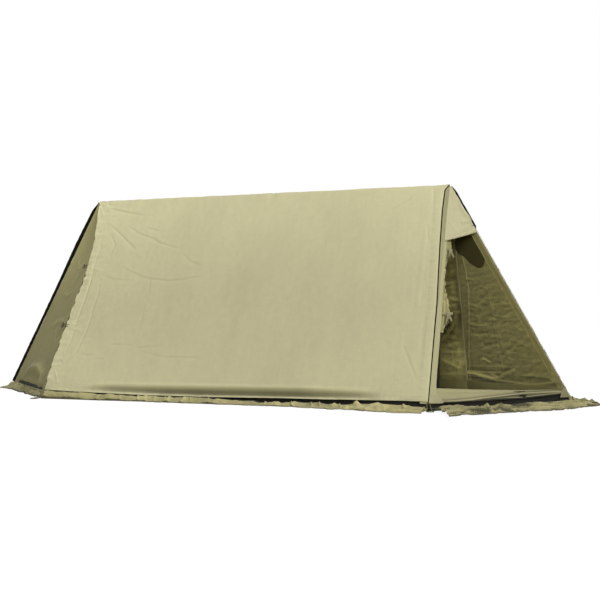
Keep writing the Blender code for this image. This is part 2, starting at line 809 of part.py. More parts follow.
def apex_bracket(end):
    """A cast elbow: three stubs that meet in a ball, each with a spigot for its pole."""
    name = f"apex_bracket_{END_NAMES[end]}"
    centre = apex(end)
    bm = bmesh.new()
    bmesh.ops.create_uvsphere(bm, u_segments=TUBE_SIDES, v_segments=TUBE_SIDES // 2,
                              radius=POLE_RADIUS * 0.985)
    bracket = add_bmesh(name, bm, "bracket")
    bracket.location = centre
    arms = [(Vector((-end, 0, 0)), RIDGE_STUB)]
    arms += [((leg_foot(end, side) - centre).normalized(), LEG_STUB) for side in (NEAR, FAR)]
    for number, (axis, stub) in enumerate(arms):
        collar = rod(f"{name}_stub_{number}", centre, centre + axis * stub, POLE_RADIUS,
                     "bracket", CUTTERS)
        spigot = rod(f"{name}_spigot_{number}", centre, centre + axis * (stub + BRACKET_SPIGOT),
                     SPIGOT_RADIUS, "bracket", CUTTERS, chamfer=0.001)
        boolean(bracket, collar, "UNION")
        boolean(bracket, spigot, "UNION")
    return bracket


# Cords and toggles

def cord(name, route, radius, points):
    """A round cord along a smooth route."""
    curve = bpy.data.curves.new(name, "CURVE")
    curve.dimensions = "3D"
    curve.bevel_depth = radius
    curve.bevel_resolution = CORD_BEVEL_STEPS
    curve.use_fill_caps = True
    spline = curve.splines.new("POLY")
    path = smooth_route(route, points)
    spline.points.add(len(path) - 1)
    for place, point in zip(spline.points, path):
        place.co = (*point, 1)
    return add_object(name, curve, "cord")


def toggle(name, base, normal, bar_axis):
    """A turned wooden toggle on a thin stem that stands on the canvas."""
    bar_height = GAP + 2 * LOOP_CORD_RADIUS + LOOP_CLEARANCE + TOGGLE_RADIUS
    half = TOGGLE_LENGTH / 2
    profile = [
        (0, half), (0.55 * TOGGLE_RADIUS, half), (0.9 * TOGGLE_RADIUS, 0.88 * half),
        (TOGGLE_RADIUS, 0.65 * half), (TOGGLE_RADIUS, 0.3 * half), (TOGGLE_WAIST, 0.16 * half),
        (TOGGLE_WAIST, -0.16 * half), (TOGGLE_RADIUS, -0.3 * half),
        (TOGGLE_RADIUS, -0.65 * half), (0.9 * TOGGLE_RADIUS, -0.88 * half),
        (0.55 * TOGGLE_RADIUS, -half), (0, -half),
    ]
    bm = bmesh.new()
    verts = [bm.verts.new((radius, 0, height)) for radius, height in profile]
    edges = [bm.edges.new(pair) for pair in zip(verts, verts[1:])]
    bmesh.ops.spin(bm, geom=verts + edges, cent=(0, 0, 0), axis=(0, 0, 1), angle=2 * math.pi,
                   steps=TOGGLE_SIDES, use_merge=True)
    bmesh.ops.remove_doubles(bm, verts=bm.verts, dist=1e-6)
    bm.transform(Matrix.Translation((0, 0, bar_height)) @ Matrix.Rotation(math.pi / 2, 4, "Y"))
    piece = add_bmesh(name, bm, "wood")
    piece.matrix_world = frame_matrix(base, normal, bar_axis)
    stem = rod(f"{name}_stem", base + normal * GAP, base + normal * bar_height, STEM_RADIUS,
               "wood", CUTTERS)
    boolean(piece, stem, "UNION")
    return piece


def away(normal, edge_axis, neighbour):
    """The direction in one face that leads away from its edge with a neighbour, given normals."""
    across = normal.cross(edge_axis).normalized()
    return across if across.dot(neighbour) < 0 else -across


def fastening(label, edge_point, edge_axis, flap_normal, base, fixed_normal):
    """Adds a toggle at a base on one face, and a cord loop from the next face that hooks round it."""
    toggle(f"{label}_toggle", base, fixed_normal, edge_axis)
    rise = LOOP_CORD_RADIUS + 2 * GAP
    half = TOGGLE_RADIUS + LOOP_CORD_RADIUS + LOOP_CLEARANCE
    flap_in = away(flap_normal, edge_axis, fixed_normal)
    fixed_in = (base - edge_point).normalized()
    over = (fixed_normal + flap_normal).normalized()
    crest = edge_point + over * rise / over.dot(fixed_normal)
    centre = base + fixed_normal * rise
    route = []
    for side in (1, -1):
        shift = edge_axis * side * half
        leg_points = [
            edge_point + flap_in * LOOP_ROOT + flap_normal * rise + shift,
            edge_point + flap_in * 0.4 * LOOP_ROOT + flap_normal * rise + shift,
            crest + over * 0.3 * rise + shift,
            edge_point.lerp(base, 0.5) + fixed_normal * rise + shift,
        ]
        route.append(leg_points)
    bend = [centre + edge_axis * half * math.cos(turn) + fixed_in * half * math.sin(turn)
            for turn in (0, math.pi / 4, math.pi / 2, 3 * math.pi / 4, math.pi)]
    return cord(f"{label}_loop", route[0] + bend + route[1][::-1], LOOP_CORD_RADIUS, CORD_POINTS)


def door_fastening(label, height):
    """A toggle on the left door and the loop on the roof's drawn-in edge that holds it shut."""
    share = height / NEAR_ROOF.top[1]
    step = 0.01
    edge_axis = (drawn_edge(share + step) - drawn_edge(share - step)).normalized()
    base = door_place(share, DOOR_TOGGLE_INSET)
    rising = door_place(share + step, DOOR_TOGGLE_INSET) - door_place(share - step, DOOR_TOGGLE_INSET)
    normal = (drawn_edge(share) - base).cross(rising).normalized()
    fastening(f"left_door_{label}", drawn_edge(share), edge_axis, NEAR_ROOF.normal, base, normal)
    return bpy.data.objects[f"left_door_{label}_toggle"]


def hood_fastening():
    """A toggle on the right beak's far face and the hood's loop that hooks round it."""
    height = DOORWAY_HEIGHT + HOOD_RISE + HOOD_TOGGLE_RISE
    edge_point = RIGHT_NEAR.point(RIGHT_NEAR.right(height), height)
    edge_axis = (peak(RIGHT) - tip(RIGHT)).normalized()
    into = away(RIGHT_FAR.normal, edge_axis, RIGHT_NEAR.normal)
    base = edge_point + into * HOOD_TOGGLE_INSET
    return fastening("right_hood", edge_point, edge_axis, RIGHT_NEAR.normal, base, RIGHT_FAR.normal)


def peg_loop(name, hem_corner, outwards):
    """A cord loop at a corner of the hem that lies out on the mud flap for a ground peg."""
    sideways = UP.cross(outwards)
    lying = CANVAS + GAP + PEG_CORD_RADIUS
    half = PEG_LOOP_WIDTH / 2
    start_out = CANVAS + GAP + PEG_CORD_RADIUS
    ground = Vector((hem_corner.x, hem_corner.y, 0))

    def place(out, aside, height):
        return ground + outwards * out + sideways * aside + UP * height

    side_route = [
        (start_out, 0.45 * half, HEM_LIFT + 2 * PEG_CORD_RADIUS),
        (start_out + 0.25 * FLAP_BEND, 0.5 * half, 0.62 * HEM_LIFT),
        (0.85 * FLAP_BEND, 0.7 * half, lying + 0.12 * HEM_LIFT),
        (0.55 * PEG_LOOP_REACH + 0.3 * FLAP_BEND, 0.95 * half, lying),
    ]
    route = [place(*point) for point in side_route]
    route.append(place(0.9 * PEG_LOOP_REACH, 0.75 * half, lying))
    route.append(place(PEG_LOOP_REACH, 0, lying))
    route.append(place(0.9 * PEG_LOOP_REACH, -0.75 * half, lying))
    route += [place(out, -aside, height) for out, aside, height in side_route[::-1]]
    return cord(name, route, PEG_CORD_RADIUS, CORD_POINTS)


def peg_loops():
    names = ["left_near", "right_near", "right_tip", "right_far", "left_far", "left_tip"]
    for i, (name, face) in enumerate(zip(names, RING)):
        outwards = (face.outward + RING[i - 1].outward).normalized()
        peg_loop(f"peg_loop_{name}", face.start, outwards)


def build():
    near_roof()
    far_roof()
    beak_face("right_beak_far", RIGHT_FAR, RIGHT_NEAR, FAR_ROOF)
    beak_face("left_beak_far", LEFT_FAR, FAR_ROOF, LEFT_NEAR)
    door = left_door()
    hood = doorway_face()
    corner_patches()
    front_edge_tape()
    door_curtain()
    door_tie("right_door_tie_upper", UPPER_TIE_DROP)
    door_tie("right_door_tie_lower", LOWER_TIE_DROP)
    mud_flaps()
    groundsheet()

    ridge_pole()
    for end in (LEFT, RIGHT):
        apex_bracket(end)
        for side in (NEAR, FAR):
            leg(end, side)

    door_hinge = add_empty("left_door_hinge", tip(LEFT))
    toggles = [door_fastening(label, height) for label, height in DOOR_TOGGLE_HEIGHTS.items()]
    hang_on(door_hinge, door)
    for piece in toggles:
        keep = piece.matrix_world.copy()
        piece.parent = door_hinge
        piece.matrix_world = keep

    hood_hinge = add_empty("right_hood_hinge", peak(RIGHT))
    hang_on(hood_hinge, hood, hood_fastening())

    peg_loops()


build()
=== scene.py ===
import math

import bpy
import numpy as np
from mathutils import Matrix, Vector


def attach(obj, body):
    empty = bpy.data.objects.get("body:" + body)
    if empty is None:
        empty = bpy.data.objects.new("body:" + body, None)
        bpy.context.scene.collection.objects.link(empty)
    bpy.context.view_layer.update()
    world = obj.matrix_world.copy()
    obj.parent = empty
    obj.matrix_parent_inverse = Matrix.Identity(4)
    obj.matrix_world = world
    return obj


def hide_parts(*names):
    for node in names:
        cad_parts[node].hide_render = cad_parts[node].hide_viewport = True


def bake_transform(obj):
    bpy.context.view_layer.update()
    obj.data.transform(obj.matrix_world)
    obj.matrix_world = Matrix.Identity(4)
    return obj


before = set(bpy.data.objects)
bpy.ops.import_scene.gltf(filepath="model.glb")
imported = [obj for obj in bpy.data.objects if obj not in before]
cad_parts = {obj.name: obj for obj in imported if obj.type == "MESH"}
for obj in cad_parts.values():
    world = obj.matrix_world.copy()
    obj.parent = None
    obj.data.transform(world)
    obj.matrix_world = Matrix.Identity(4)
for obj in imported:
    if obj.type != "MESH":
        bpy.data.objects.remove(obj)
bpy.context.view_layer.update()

# The tent's outline, as in the CAD source, in metres
RIDGE_LENGTH = 2.10
HEM_WIDTH = 1.14
WALL_HEIGHT = 1.10
BEAK_DEPTH = 0.605
HEM_LIFT = 0.035
PEAK_OPENING = 0.012
EDGE_BOW = 0.045
EDGE_SET_BACK = 0.0011
DOORWAY_HEIGHT = 0.842
HOOD_RISE = 0.059
RIDGE_Z = HEM_LIFT + WALL_HEIGHT
TOP_SHARE = 1 - PEAK_OPENING / WALL_HEIGHT
DOOR_TOGGLE_HEIGHTS = {"upper": 0.784, "lower": 0.403}
TIE_DROPS = {"upper": 0.047, "lower": 0.392}
CURTAIN_DROP = 0.504
PEG_CORD = 0.005
LOOP_CORD = 0.003
LEFT, RIGHT = -1, 1
NEAR, FAR = -1, 1

# Cloth: its thickness, its hems' widths, and the distances from an edge where its grid has lines
CANVAS = 0.001
NEAR_HEM = 0.0145
BROAD_HEM = 0.038
SLIM_HEM = 0.012
EDGE_GAP = 0.0006
HEM = (0.0, 0.0010, 0.0030, 0.0130, 0.0150, 0.0360, 0.0380, 0.0400)
NARROW_HEM = (0.0, 0.0010, 0.0025, 0.0105, 0.0120, 0.0140)
HEM_LIP = (0.0, 0.001, 0.003, 0.006, 0.009, 0.0115, 0.013, 0.0145, 0.017, 0.020, 0.024, 0.028,
           0.032, 0.036, 0.040, 0.045, 0.050, 0.056)

# Creases of the near roof: points as u along the hem and v up the slope, then height and width
NEAR_CREASES = [
    ([(0.083, 1.178), (0.191, 1.151), (0.322, 1.123)], 0.0036, 0.010),
    ([(0.115, 1.063), (0.199, 0.999), (0.250, 0.955), (0.330, 0.889)], 0.0026, 0.010),
    ([(0.234, 1.051), (0.331, 0.994), (0.420, 0.963), (0.476, 0.928), (0.544, 0.908),
      (0.618, 0.885)], 0.0022, 0.010),
    ([(0.359, 1.036), (0.455, 1.011)], 0.0018, 0.009),
    ([(0.633, 0.860), (0.692, 0.804), (0.766, 0.777)], 0.0018, 0.010),
    ([(0.258, 0.781), (0.332, 0.747), (0.410, 0.713), (0.455, 0.700), (0.582, 0.685),
      (0.688, 0.691), (0.774, 0.709)], 0.0020, 0.010),
    ([(0.161, 0.724), (0.233, 0.697), (0.347, 0.689)], 0.0016, 0.009),
    ([(0.139, 1.000), (0.187, 0.923), (0.174, 0.850)], 0.0018, 0.009),
    ([(0.082, 1.002), (0.096, 0.892), (0.089, 0.825), (0.095, 0.693), (0.092, 0.570),
      (0.081, 0.443), (0.080, 0.331), (0.068, 0.233)], 0.0022, 0.009),
    ([(0.156, 0.708), (0.167, 0.588), (0.161, 0.499), (0.164, 0.412), (0.151, 0.307),
      (0.127, 0.219), (0.077, 0.173)], 0.0018, 0.010),
    ([(0.467, 0.712), (0.490, 0.598)], 0.0014, 0.009),
    ([(0.481, 0.535), (0.485, 0.400)], 0.0014, 0.009),
    ([(0.267, 0.198), (0.319, 0.201)], 0.0014, 0.008),
    ([(0.162, 0.226), (0.245, 0.221)], 0.0014, 0.008),
    ([(0.325, 0.288), (0.448, 0.289)], 0.0014, 0.009),
    ([(0.492, 0.270), (0.616, 0.284)], 0.0014, 0.009),
    ([(0.509, 0.257), (0.663, 0.220), (0.884, 0.217)], 0.0014, 0.010),
    ([(0.008, 0.172), (0.047, 0.188), (0.074, 0.165)], 0.0020, 0.008),
    ([(0.016, 0.145), (0.040, 0.152), (0.068, 0.143)], 0.0020, 0.007),
    ([(0.029, 0.134), (0.080, 0.040)], -0.0024, 0.007),
    ([(1.930, 1.180), (1.800, 1.090)], 0.0012, 0.012),
    ([(2.001, 0.995), (2.020, 0.885)], 0.0010, 0.008),
    ([(2.017, 1.225), (2.025, 1.080)], 0.0010, 0.008),
    ([(1.950, 0.300), (2.030, 0.120)], 0.0014, 0.012),
]

# Folds of the far roof beside the right beak, measured from their shared corner
FAR_FOLDS = [
    ([(0.083, 0.662), (-0.006, 0.676)], 0.0045, 0.009),
    ([(0.085, 0.640), (0.002, 0.642)], 0.0040, 0.008),
    ([(0.044, 0.734), (-0.024, 0.756)], 0.0040, 0.009),
    ([(0.068, 0.581), (0.025, 0.563), (-0.031, 0.568)], 0.0045, 0.009),
    ([(0.085, 0.519), (-0.006, 0.544)], 0.0045, 0.009),
    ([(0.088, 0.488), (0.020, 0.488)], 0.0040, 0.008),
    ([(0.145, 0.231), (-0.004, 0.233)], 0.0050, 0.010),
    ([(0.149, 0.191), (0.028, 0.121)], 0.0050, 0.010),
    ([(0.112, 0.277), (-0.009, 0.298)], 0.0045, 0.010),
    ([(-0.039, 0.574), (-0.017, 0.531), (0.028, 0.469), (0.062, 0.399), (0.108, 0.329),
      (0.139, 0.303)], 0.0110, 0.014),
]

# Folds across the curtain's pleats: drop, side, height and width
CURTAIN_FOLDS = [
    (0.045, 0.5, 0.0030, 0.006), (0.090, 0.3, 0.0040, 0.008), (0.160, 0.2, 0.0050, 0.007),
    (0.172, 0.5, 0.0050, 0.006), (0.196, 0.35, 0.0055, 0.007), (0.225, 0.6, 0.0035, 0.008),
    (0.262, 0.4, 0.0045, 0.008), (0.300, 0.55, 0.0040, 0.008), (0.335, 0.35, 0.0045, 0.007),
    (0.362, 0.6, 0.0040, 0.007),
]

# Painted highlights on the right beak's far face, along the crests of its lowest folds
FOOT_HIGHLIGHT = [(0.880, 0.088), (0.800, 0.098), (0.700, 0.100), (0.560, 0.082), (0.480, 0.066)]
SECOND_HIGHLIGHT = [(0.560, 0.040), (0.460, 0.048), (0.350, 0.040), (0.250, 0.022)]

# Camera, light and floor

def add_camera():
    data = bpy.data.cameras.new("camera")
    pitch, turn = 0.0195, 0.3402
    data.sensor_width = 36
    data.lens = 56.357
    camera = bpy.data.objects.new("camera", data)
    camera.location = (1.9468, -4.8876, 0.432)
    camera.rotation_euler = (math.pi / 2 + pitch, 0, turn)
    bpy.context.scene.collection.objects.link(camera)
    bpy.context.scene.camera = camera


def add_node(tree, kind, inputs=None, **settings):
    """A shader node with its settings and its inputs, which are values or other nodes' outputs."""
    node = tree.nodes.new(kind)
    for key, value in settings.items():
        setattr(node, key, value)
    for key, value in (inputs or {}).items():
        if isinstance(value, bpy.types.NodeSocket):
            tree.links.new(value, node.inputs[key])
        else:
            node.inputs[key].default_value = value
    return node


def seen_directly(tree):
    """1 for camera, glossy and transmission rays."""
    path = add_node(tree, "ShaderNodeLightPath").outputs
    either = maths(tree, "MAXIMUM", path["Is Camera Ray"], path["Is Glossy Ray"])
    return maths(tree, "MAXIMUM", either, path["Is Transmission Ray"])


def end_tree(tree, unseen, seen, output):
    """Ends a tree in one shader for rays that see it directly and another for the others."""
    mix = add_node(tree, "ShaderNodeMixShader", {0: seen_directly(tree), 1: unseen.outputs[0],
                                                 2: seen.outputs[0]})
    add_node(tree, output, {"Surface": mix.outputs[0]})


def add_light():
    scene = bpy.context.scene
    scene.view_settings.view_transform = "Standard"
    for name, towards, energy, angle in (("key", (0.65, -0.30, 0.70), 2.16, 0.30),
                                         ("fill", (0.12, -0.95, 0.08), 1.19, 0.40)):
        data = bpy.data.lights.new(name, "SUN")
        data.energy = energy
        data.angle = angle
        lamp = bpy.data.objects.new(name, data)
        lamp.rotation_euler = Vector(towards).to_track_quat("Z", "Y").to_euler()
        scene.collection.objects.link(lamp)

    world = bpy.data.worlds.new("world")
    world.use_nodes = True
    tree = world.node_tree
    tree.nodes.clear()
    white = add_node(tree, "ShaderNodeBackground", {"Color": (1, 1, 1, 1), "Strength": 1.0})
    soft = add_node(tree, "ShaderNodeBackground", {"Color": (1, 0.97, 0.85, 1), "Strength": 0.13})
    end_tree(tree, soft, white, "ShaderNodeOutputWorld")
    scene.world = world


def add_floor():
    reach, depth = 40, -0.0006
    mesh = bpy.data.meshes.new("floor")
    sides = ((-reach, -reach), (reach, -reach), (reach, reach), (-reach, reach))
    mesh.from_pydata([(x, y, depth) for x, y in sides], [], [(0, 1, 2, 3)])
    floor = bpy.data.objects.new("floor", mesh)
    bpy.context.scene.collection.objects.link(floor)
    material, tree = new_material("floor")
    tree.nodes.clear()
    pale = add_node(tree, "ShaderNodeBsdfDiffuse", {"Color": (0.95, 0.95, 0.95, 1)})
    white = add_node(tree, "ShaderNodeEmission", {"Color": (1, 1, 1, 1), "Strength": 1.16})
    dull = add_node(tree, "ShaderNodeBsdfDiffuse", {"Color": (0.32, 0.30, 0.17, 1)})
    seen = add_node(tree, "ShaderNodeMixShader", {0: 0.78, 1: pale.outputs[0], 2: white.outputs[0]})
    end_tree(tree, dull, seen, "ShaderNodeOutputMaterial")
    mesh.materials.append(material)


# Numbers

def unit(a):
    return a / np.linalg.norm(a, axis=-1, keepdims=True)


def ease(x):
    """0 to 1 with level ends."""
    x = np.clip(x, 0, 1)
    return x * x * (3 - 2 * x)


def bell(x, width):
    """1 at 0, falling off to both sides."""
    return np.exp(-(x / width) ** 2)


def fading(x, reach):
    """1 at 0, falling off over a reach."""
    return np.exp(-x / reach)


def arch(share, power):
    """0 at both ends of a share from 0 to 1, and 1 in its middle."""
    return np.sin(np.pi * np.clip(share, 0, 1)) ** power


def distances(line):
    """How far along a line of points each of them lies."""
    return np.concatenate([[0], np.cumsum(np.linalg.norm(np.diff(line, axis=0), axis=1))])


def smooth_line(points, count):
    """Evenly spaced points on a smooth curve through the given points."""
    points = np.array(points, float)
    padded = np.concatenate([[2 * points[0] - points[1]], points, [2 * points[-1] - points[-2]]])
    dense = []
    t = np.linspace(0, 1, 24, endpoint=False)[:, None]
    for a, b, c, d in zip(padded, padded[1:], padded[2:], padded[3:]):
        dense.append(0.5 * (2 * b + (c - a) * t + (2 * a - 5 * b + 4 * c - d) * t ** 2
                            + (3 * b - a - 3 * c + d) * t ** 3))
    dense = np.concatenate(dense + [points[-1:]])
    length = distances(dense)
    places = np.linspace(0, length[-1], count)
    return np.stack([np.interp(places, length, dense[:, i]) for i in range(3)], -1)


def noise(x, y, seed):
    """Smooth noise from -1 to 1, with one cell to a unit."""
    cells = 64
    table = np.random.default_rng(seed).uniform(-1, 1, (cells, cells))
    x, y = np.broadcast_arrays(np.asarray(x, float), np.asarray(y, float))
    i, j = np.floor(x).astype(int), np.floor(y).astype(int)
    fx, fy = x - i, y - j
    fx = fx ** 3 * (fx * (6 * fx - 15) + 10)
    fy = fy ** 3 * (fy * (6 * fy - 15) + 10)
    i, j, next_i, next_j = i % cells, j % cells, (i + 1) % cells, (j + 1) % cells
    low = table[i, j] * (1 - fx) + table[next_i, j] * fx
    high = table[i, next_j] * (1 - fx) + table[next_i, next_j] * fx
    return low * (1 - fy) + high * fy


def cloud(x, y, seed):
    """Three layers of smooth noise, each half as large and twice as fine as the one before."""
    total = 0.0
    for k in range(3):
        total += noise(np.asarray(x) * 2 ** k, np.asarray(y) * 2 ** k, seed + 17 * k) / 2 ** k
    return total


def creased(x, y, seed):
    """Sharp-crested folds, up to 1."""
    return 1 - np.abs(noise(x, y, seed)) * 1.8


def crests(x, y, seed, power=2):
    """The crests alone of sharp folds, from 0 to 1."""
    return np.maximum(0, creased(x, y, seed)) ** power


def line_gap(u, v, points):
    """How far each place lies from a line of points, and the share of the way along it."""
    points = np.array(points, float)
    starts = distances(points)
    near = np.full(np.shape(u), 1e9)
    share = np.zeros(np.shape(u))
    for a, b, start in zip(points, points[1:], starts):
        step = b - a
        span = np.linalg.norm(step)
        t = np.clip(((u - a[0]) * step[0] + (v - a[1]) * step[1]) / span ** 2, 0, 1)
        gap = np.hypot(u - a[0] - t * step[0], v - a[1] - t * step[1])
        share = np.where(gap < near, (start + t * span) / starts[-1], share)
        near = np.minimum(gap, near)
    return near, share


def fold(u, v, points, height, width, sharp=1.6, run_out=0.5):
    """A fold along a line of points, highest in the middle, that fades out at its ends."""
    near, place = line_gap(u, v, points)
    fade = np.sin(np.pi * np.clip(place, 0.001, 0.999)) ** run_out
    return height * fade * np.exp(-(near / width) ** sharp)


def folds(u, v, lines, higher=1.0, wider=1.0, sharp=1.6):
    """Several folds together, each given as its points, its height and its width."""
    return sum(fold(u, v, points, higher * height, wider * width, sharp)
               for points, height, width in lines)


def flat_seam(u, v, points, rise, width):
    """A flat-felled seam: a narrow raised band along a line."""
    return rise * (1 - ease((line_gap(u, v, points)[0] - width) / 0.003 + 0.5))


def seam_pucker(distance, along, width, seed, height=0.0006):
    """The small puckers that stitching pulls up on both sides of its row."""
    ripple = noise(along / 0.011, distance / 0.03, seed) + 0.6 * noise(along / 0.027, 0, seed + 1)
    return height * ripple * bell(distance - width, 0.012)


def sewn_hem(distance, along, seed, width=BROAD_HEM, rise=0.0009):
    """The lift of a hem: doubled cloth, a row of stitches that pulls in, and its puckers."""
    row = width - 0.0025
    doubled = rise * (1 - ease((distance - width) / 0.0012 + 0.5))
    pull = -0.0005 * bell(distance - row, 0.0014)
    return doubled + pull + seam_pucker(distance, along, row, seed)


def spread(start, end, steps, near=(0.0,), far=(0.0,), crowd=0.0):
    """Positions from start to end: lines at set distances from either end, and steps between,
    which crowd towards both ends."""
    start = np.atleast_1d(np.asarray(start, float))[:, None]
    end = np.atleast_1d(np.asarray(end, float))[:, None]
    start, end = np.broadcast_arrays(start, end)
    reach = 2.1 * max(max(near), max(far), 1e-6)
    squeeze = np.minimum(1, (end - start) / reach)
    low = start + np.array(near) * squeeze
    high = end - np.array(far)[::-1] * squeeze
    share = np.linspace(0, 1, steps + 1)[1:-1]
    share -= crowd * np.sin(2 * np.pi * share) / (2 * np.pi)
    middle = low[:, -1:] + (high[:, :1] - low[:, -1:]) * share
    return np.concatenate([low, middle, high], axis=1)


# The tent's faces and edges

class Face:
    """One flat face of the canvas. u runs along its hem, v up its slope and out outwards."""

    def __init__(self, start, end, top):
        self.start, self.end, top = (np.array(p, float) for p in (start, end, top))
        self.length = np.linalg.norm(self.end - self.start)
        self.u = unit(self.end - self.start)
        self.normal = unit(np.cross(self.u, top - self.start))
        self.v = np.cross(self.normal, self.u)
        self.top = ((top - self.start) @ self.u, (top - self.start) @ self.v)
        self.outward = unit(self.normal * (1, 1, 0))

    def at(self, u, v, out=0.0):
        u, v, out = np.broadcast_arrays(np.asarray(u, float), v, out)
        return (self.start + u[..., None] * self.u + v[..., None] * self.v
                + out[..., None] * self.normal)

    def left(self, v):
        """u of the left edge at a height up the slope."""
        return self.top[0] * v / self.top[1]

    def right(self, v):
        """u of the right edge at a height up the slope."""
        return self.length + (self.top[0] - self.length) * v / self.top[1]


def peak(end):
    return np.array((end * RIDGE_LENGTH / 2, 0, RIDGE_Z))


def corner(end, side):
    return np.array((end * RIDGE_LENGTH / 2, side * HEM_WIDTH / 2, HEM_LIFT))


def tip(end):
    return np.array((end * (RIDGE_LENGTH / 2 + BEAK_DEPTH), 0, HEM_LIFT))


def front_edge(end, share):
    """A beak's front edge, at a share of the way from its tip to its peak."""
    return tip(end) + (peak(end) - tip(end)) * share


NEAR_ROOF = Face(corner(LEFT, NEAR), corner(RIGHT, NEAR), peak(RIGHT))
RIGHT_NEAR = Face(corner(RIGHT, NEAR), tip(RIGHT), peak(RIGHT))
RIGHT_FAR = Face(tip(RIGHT), corner(RIGHT, FAR), peak(RIGHT))
FAR_ROOF = Face(corner(RIGHT, FAR), corner(LEFT, FAR), peak(LEFT))
LEFT_FAR = Face(corner(LEFT, FAR), tip(LEFT), peak(LEFT))
LEFT_NEAR = Face(tip(LEFT), corner(LEFT, NEAR), peak(LEFT))
RING = [NEAR_ROOF, RIGHT_NEAR, RIGHT_FAR, FAR_ROOF, LEFT_FAR, LEFT_NEAR]
SLOPE = NEAR_ROOF.top[1]


def edge_bow(share):
    """How far the near roof's left edge is drawn in at a share of the way from hem to peak."""
    return EDGE_BOW * np.sin(np.pi * np.clip(share, 0, 1) ** 1.6) ** 1.5


def set_back(height):
    """How far the roof's right hem stops short of the corner at a height above the hem."""
    return np.interp(height, (0.0, 0.032, 0.229, 0.475, 0.735, 0.961, 1.067, 1.1),
                     (0.003, 0.003, 0.006, 0.009, 0.022, 0.029, 0.026, 0.004))


def strip_edge(v):
    """u of the side strip's free edge beside the doorway, which flares at its foot."""
    width = np.interp(v, (0.006, 0.016, 0.031, 0.055, 0.138, 0.262, 0.390, 0.520, 0.655, 0.80),
                      (0.080, 0.062, 0.044, 0.036, 0.0327, 0.0305, 0.0282, 0.023, 0.0165, 0.0163))
    return RIGHT_NEAR.left(v) + width


# Meshes

def grid_normals(points):
    across = np.gradient(points, axis=1)
    along = np.gradient(points, axis=0)
    normals = np.cross(across, along)
    size = np.linalg.norm(normals, axis=-1, keepdims=True)
    return normals / np.maximum(size, 1e-12)


def add_mesh(name, points, faces, material, uv, values=None, lining=None, lined=None):
    """An object from points and faces, with places in metres for its weave, dirt and painted light.
    """
    mesh = bpy.data.meshes.new(name)
    mesh.from_pydata(points.reshape(-1, 3).tolist(), [], faces)
    mesh.materials.append(material)
    if lining is not None:
        mesh.materials.append(lining)
        mesh.polygons.foreach_set("material_index", np.asarray(lined, np.int32))
    mesh.validate()
    index = np.empty(len(mesh.loops), int)
    mesh.loops.foreach_get("vertex_index", index)
    mesh.uv_layers.new(name="cloth").data.foreach_set("uv", uv.reshape(-1, 2)[index].ravel())
    for key, value in (values or {}).items():
        layer = mesh.attributes.new(key, "FLOAT", "POINT")
        layer.data.foreach_set("value", np.asarray(value, float))
    mesh.shade_smooth()
    piece = bpy.data.objects.new(name, mesh)
    bpy.context.scene.collection.objects.link(piece)
    return piece


def make_outward(piece):
    """Turns a closed mesh's faces outwards where its volume comes out negative."""
    mesh = piece.data
    mesh.calc_loop_triangles()
    co = np.empty(len(mesh.vertices) * 3)
    mesh.vertices.foreach_get("co", co)
    co = co.reshape(-1, 3)
    tri = np.empty(len(mesh.loop_triangles) * 3, int)
    mesh.loop_triangles.foreach_get("vertices", tri)
    a, b, c = (co[tri.reshape(-1, 3)[:, i]] for i in range(3))
    if np.einsum("ij,ij->i", a, np.cross(b, c)).sum() < 0:
        mesh.flip_normals()


def relief(lift):
    """How far each point stands out from its surroundings, in millimetres and at most 2.5."""
    reach = 7
    kernel = np.hanning(2 * reach + 3)[1:-1]
    kernel = kernel / kernel.sum()
    soft = lift
    for axis in (0, 1):
        soft = np.apply_along_axis(
            lambda line: np.convolve(np.pad(line, reach, mode="edge"), kernel, "valid"), axis, soft)
    return np.clip(1000 * (lift - soft), -2.5, 2.5)


def cloth(name, base, lift, uv, material, dirt, thickness=CANVAS, lining=None,
          pale=0.0, painted_shade=0.0, inner_painted_light=None, inner_painted_shade=0.0):
    """A closed thin sheet. Its outer side is a grid of points, lifted along their normals."""
    shape = base.shape[:2]
    count = shape[0] * shape[1]
    outer = base + grid_normals(base) * np.broadcast_to(lift, shape)[..., None]
    inner = outer - grid_normals(outer) * thickness
    index = np.arange(count).reshape(shape)
    a, b, c, d = index[:-1, :-1], index[:-1, 1:], index[1:, 1:], index[1:, :-1]
    rim = np.concatenate([index[0], index[1:, -1], index[-1, -2::-1], index[-2:0:-1, 0]])
    below = rim + count
    quads = [np.stack([a, b, c, d], -1).reshape(-1, 4),
             np.stack([a, d, c, b], -1).reshape(-1, 4) + count,
             np.stack([rim, below, np.roll(below, -1), np.roll(rim, -1)], -1)]
    points = np.concatenate([outer.reshape(-1, 3), inner.reshape(-1, 3)])
    places = np.stack(np.broadcast_arrays(*uv), -1).reshape(-1, 2)
    lined = np.concatenate([np.full(len(part), k == 1) for k, part in enumerate(quads)])
    # The cloth's own dirt, then light and shade painted into its colour, for its outer and inner
    # sides.
    dirt_and_light = {"dirt": (dirt, dirt), "pale": (pale, pale if inner_painted_light is None else inner_painted_light),
            "painted_shade": (painted_shade, inner_painted_shade)}
    for key, pair in dirt_and_light.items():
        dirt_and_light[key] = np.concatenate([np.broadcast_to(value, shape).ravel() for value in pair])
    piece = add_mesh(name, points, np.concatenate(quads).tolist(), material,
                     np.concatenate([places, places]), dirt_and_light, lining, lined)
    piece.data.set_sharp_from_angle(angle=math.radians(45))
    return piece


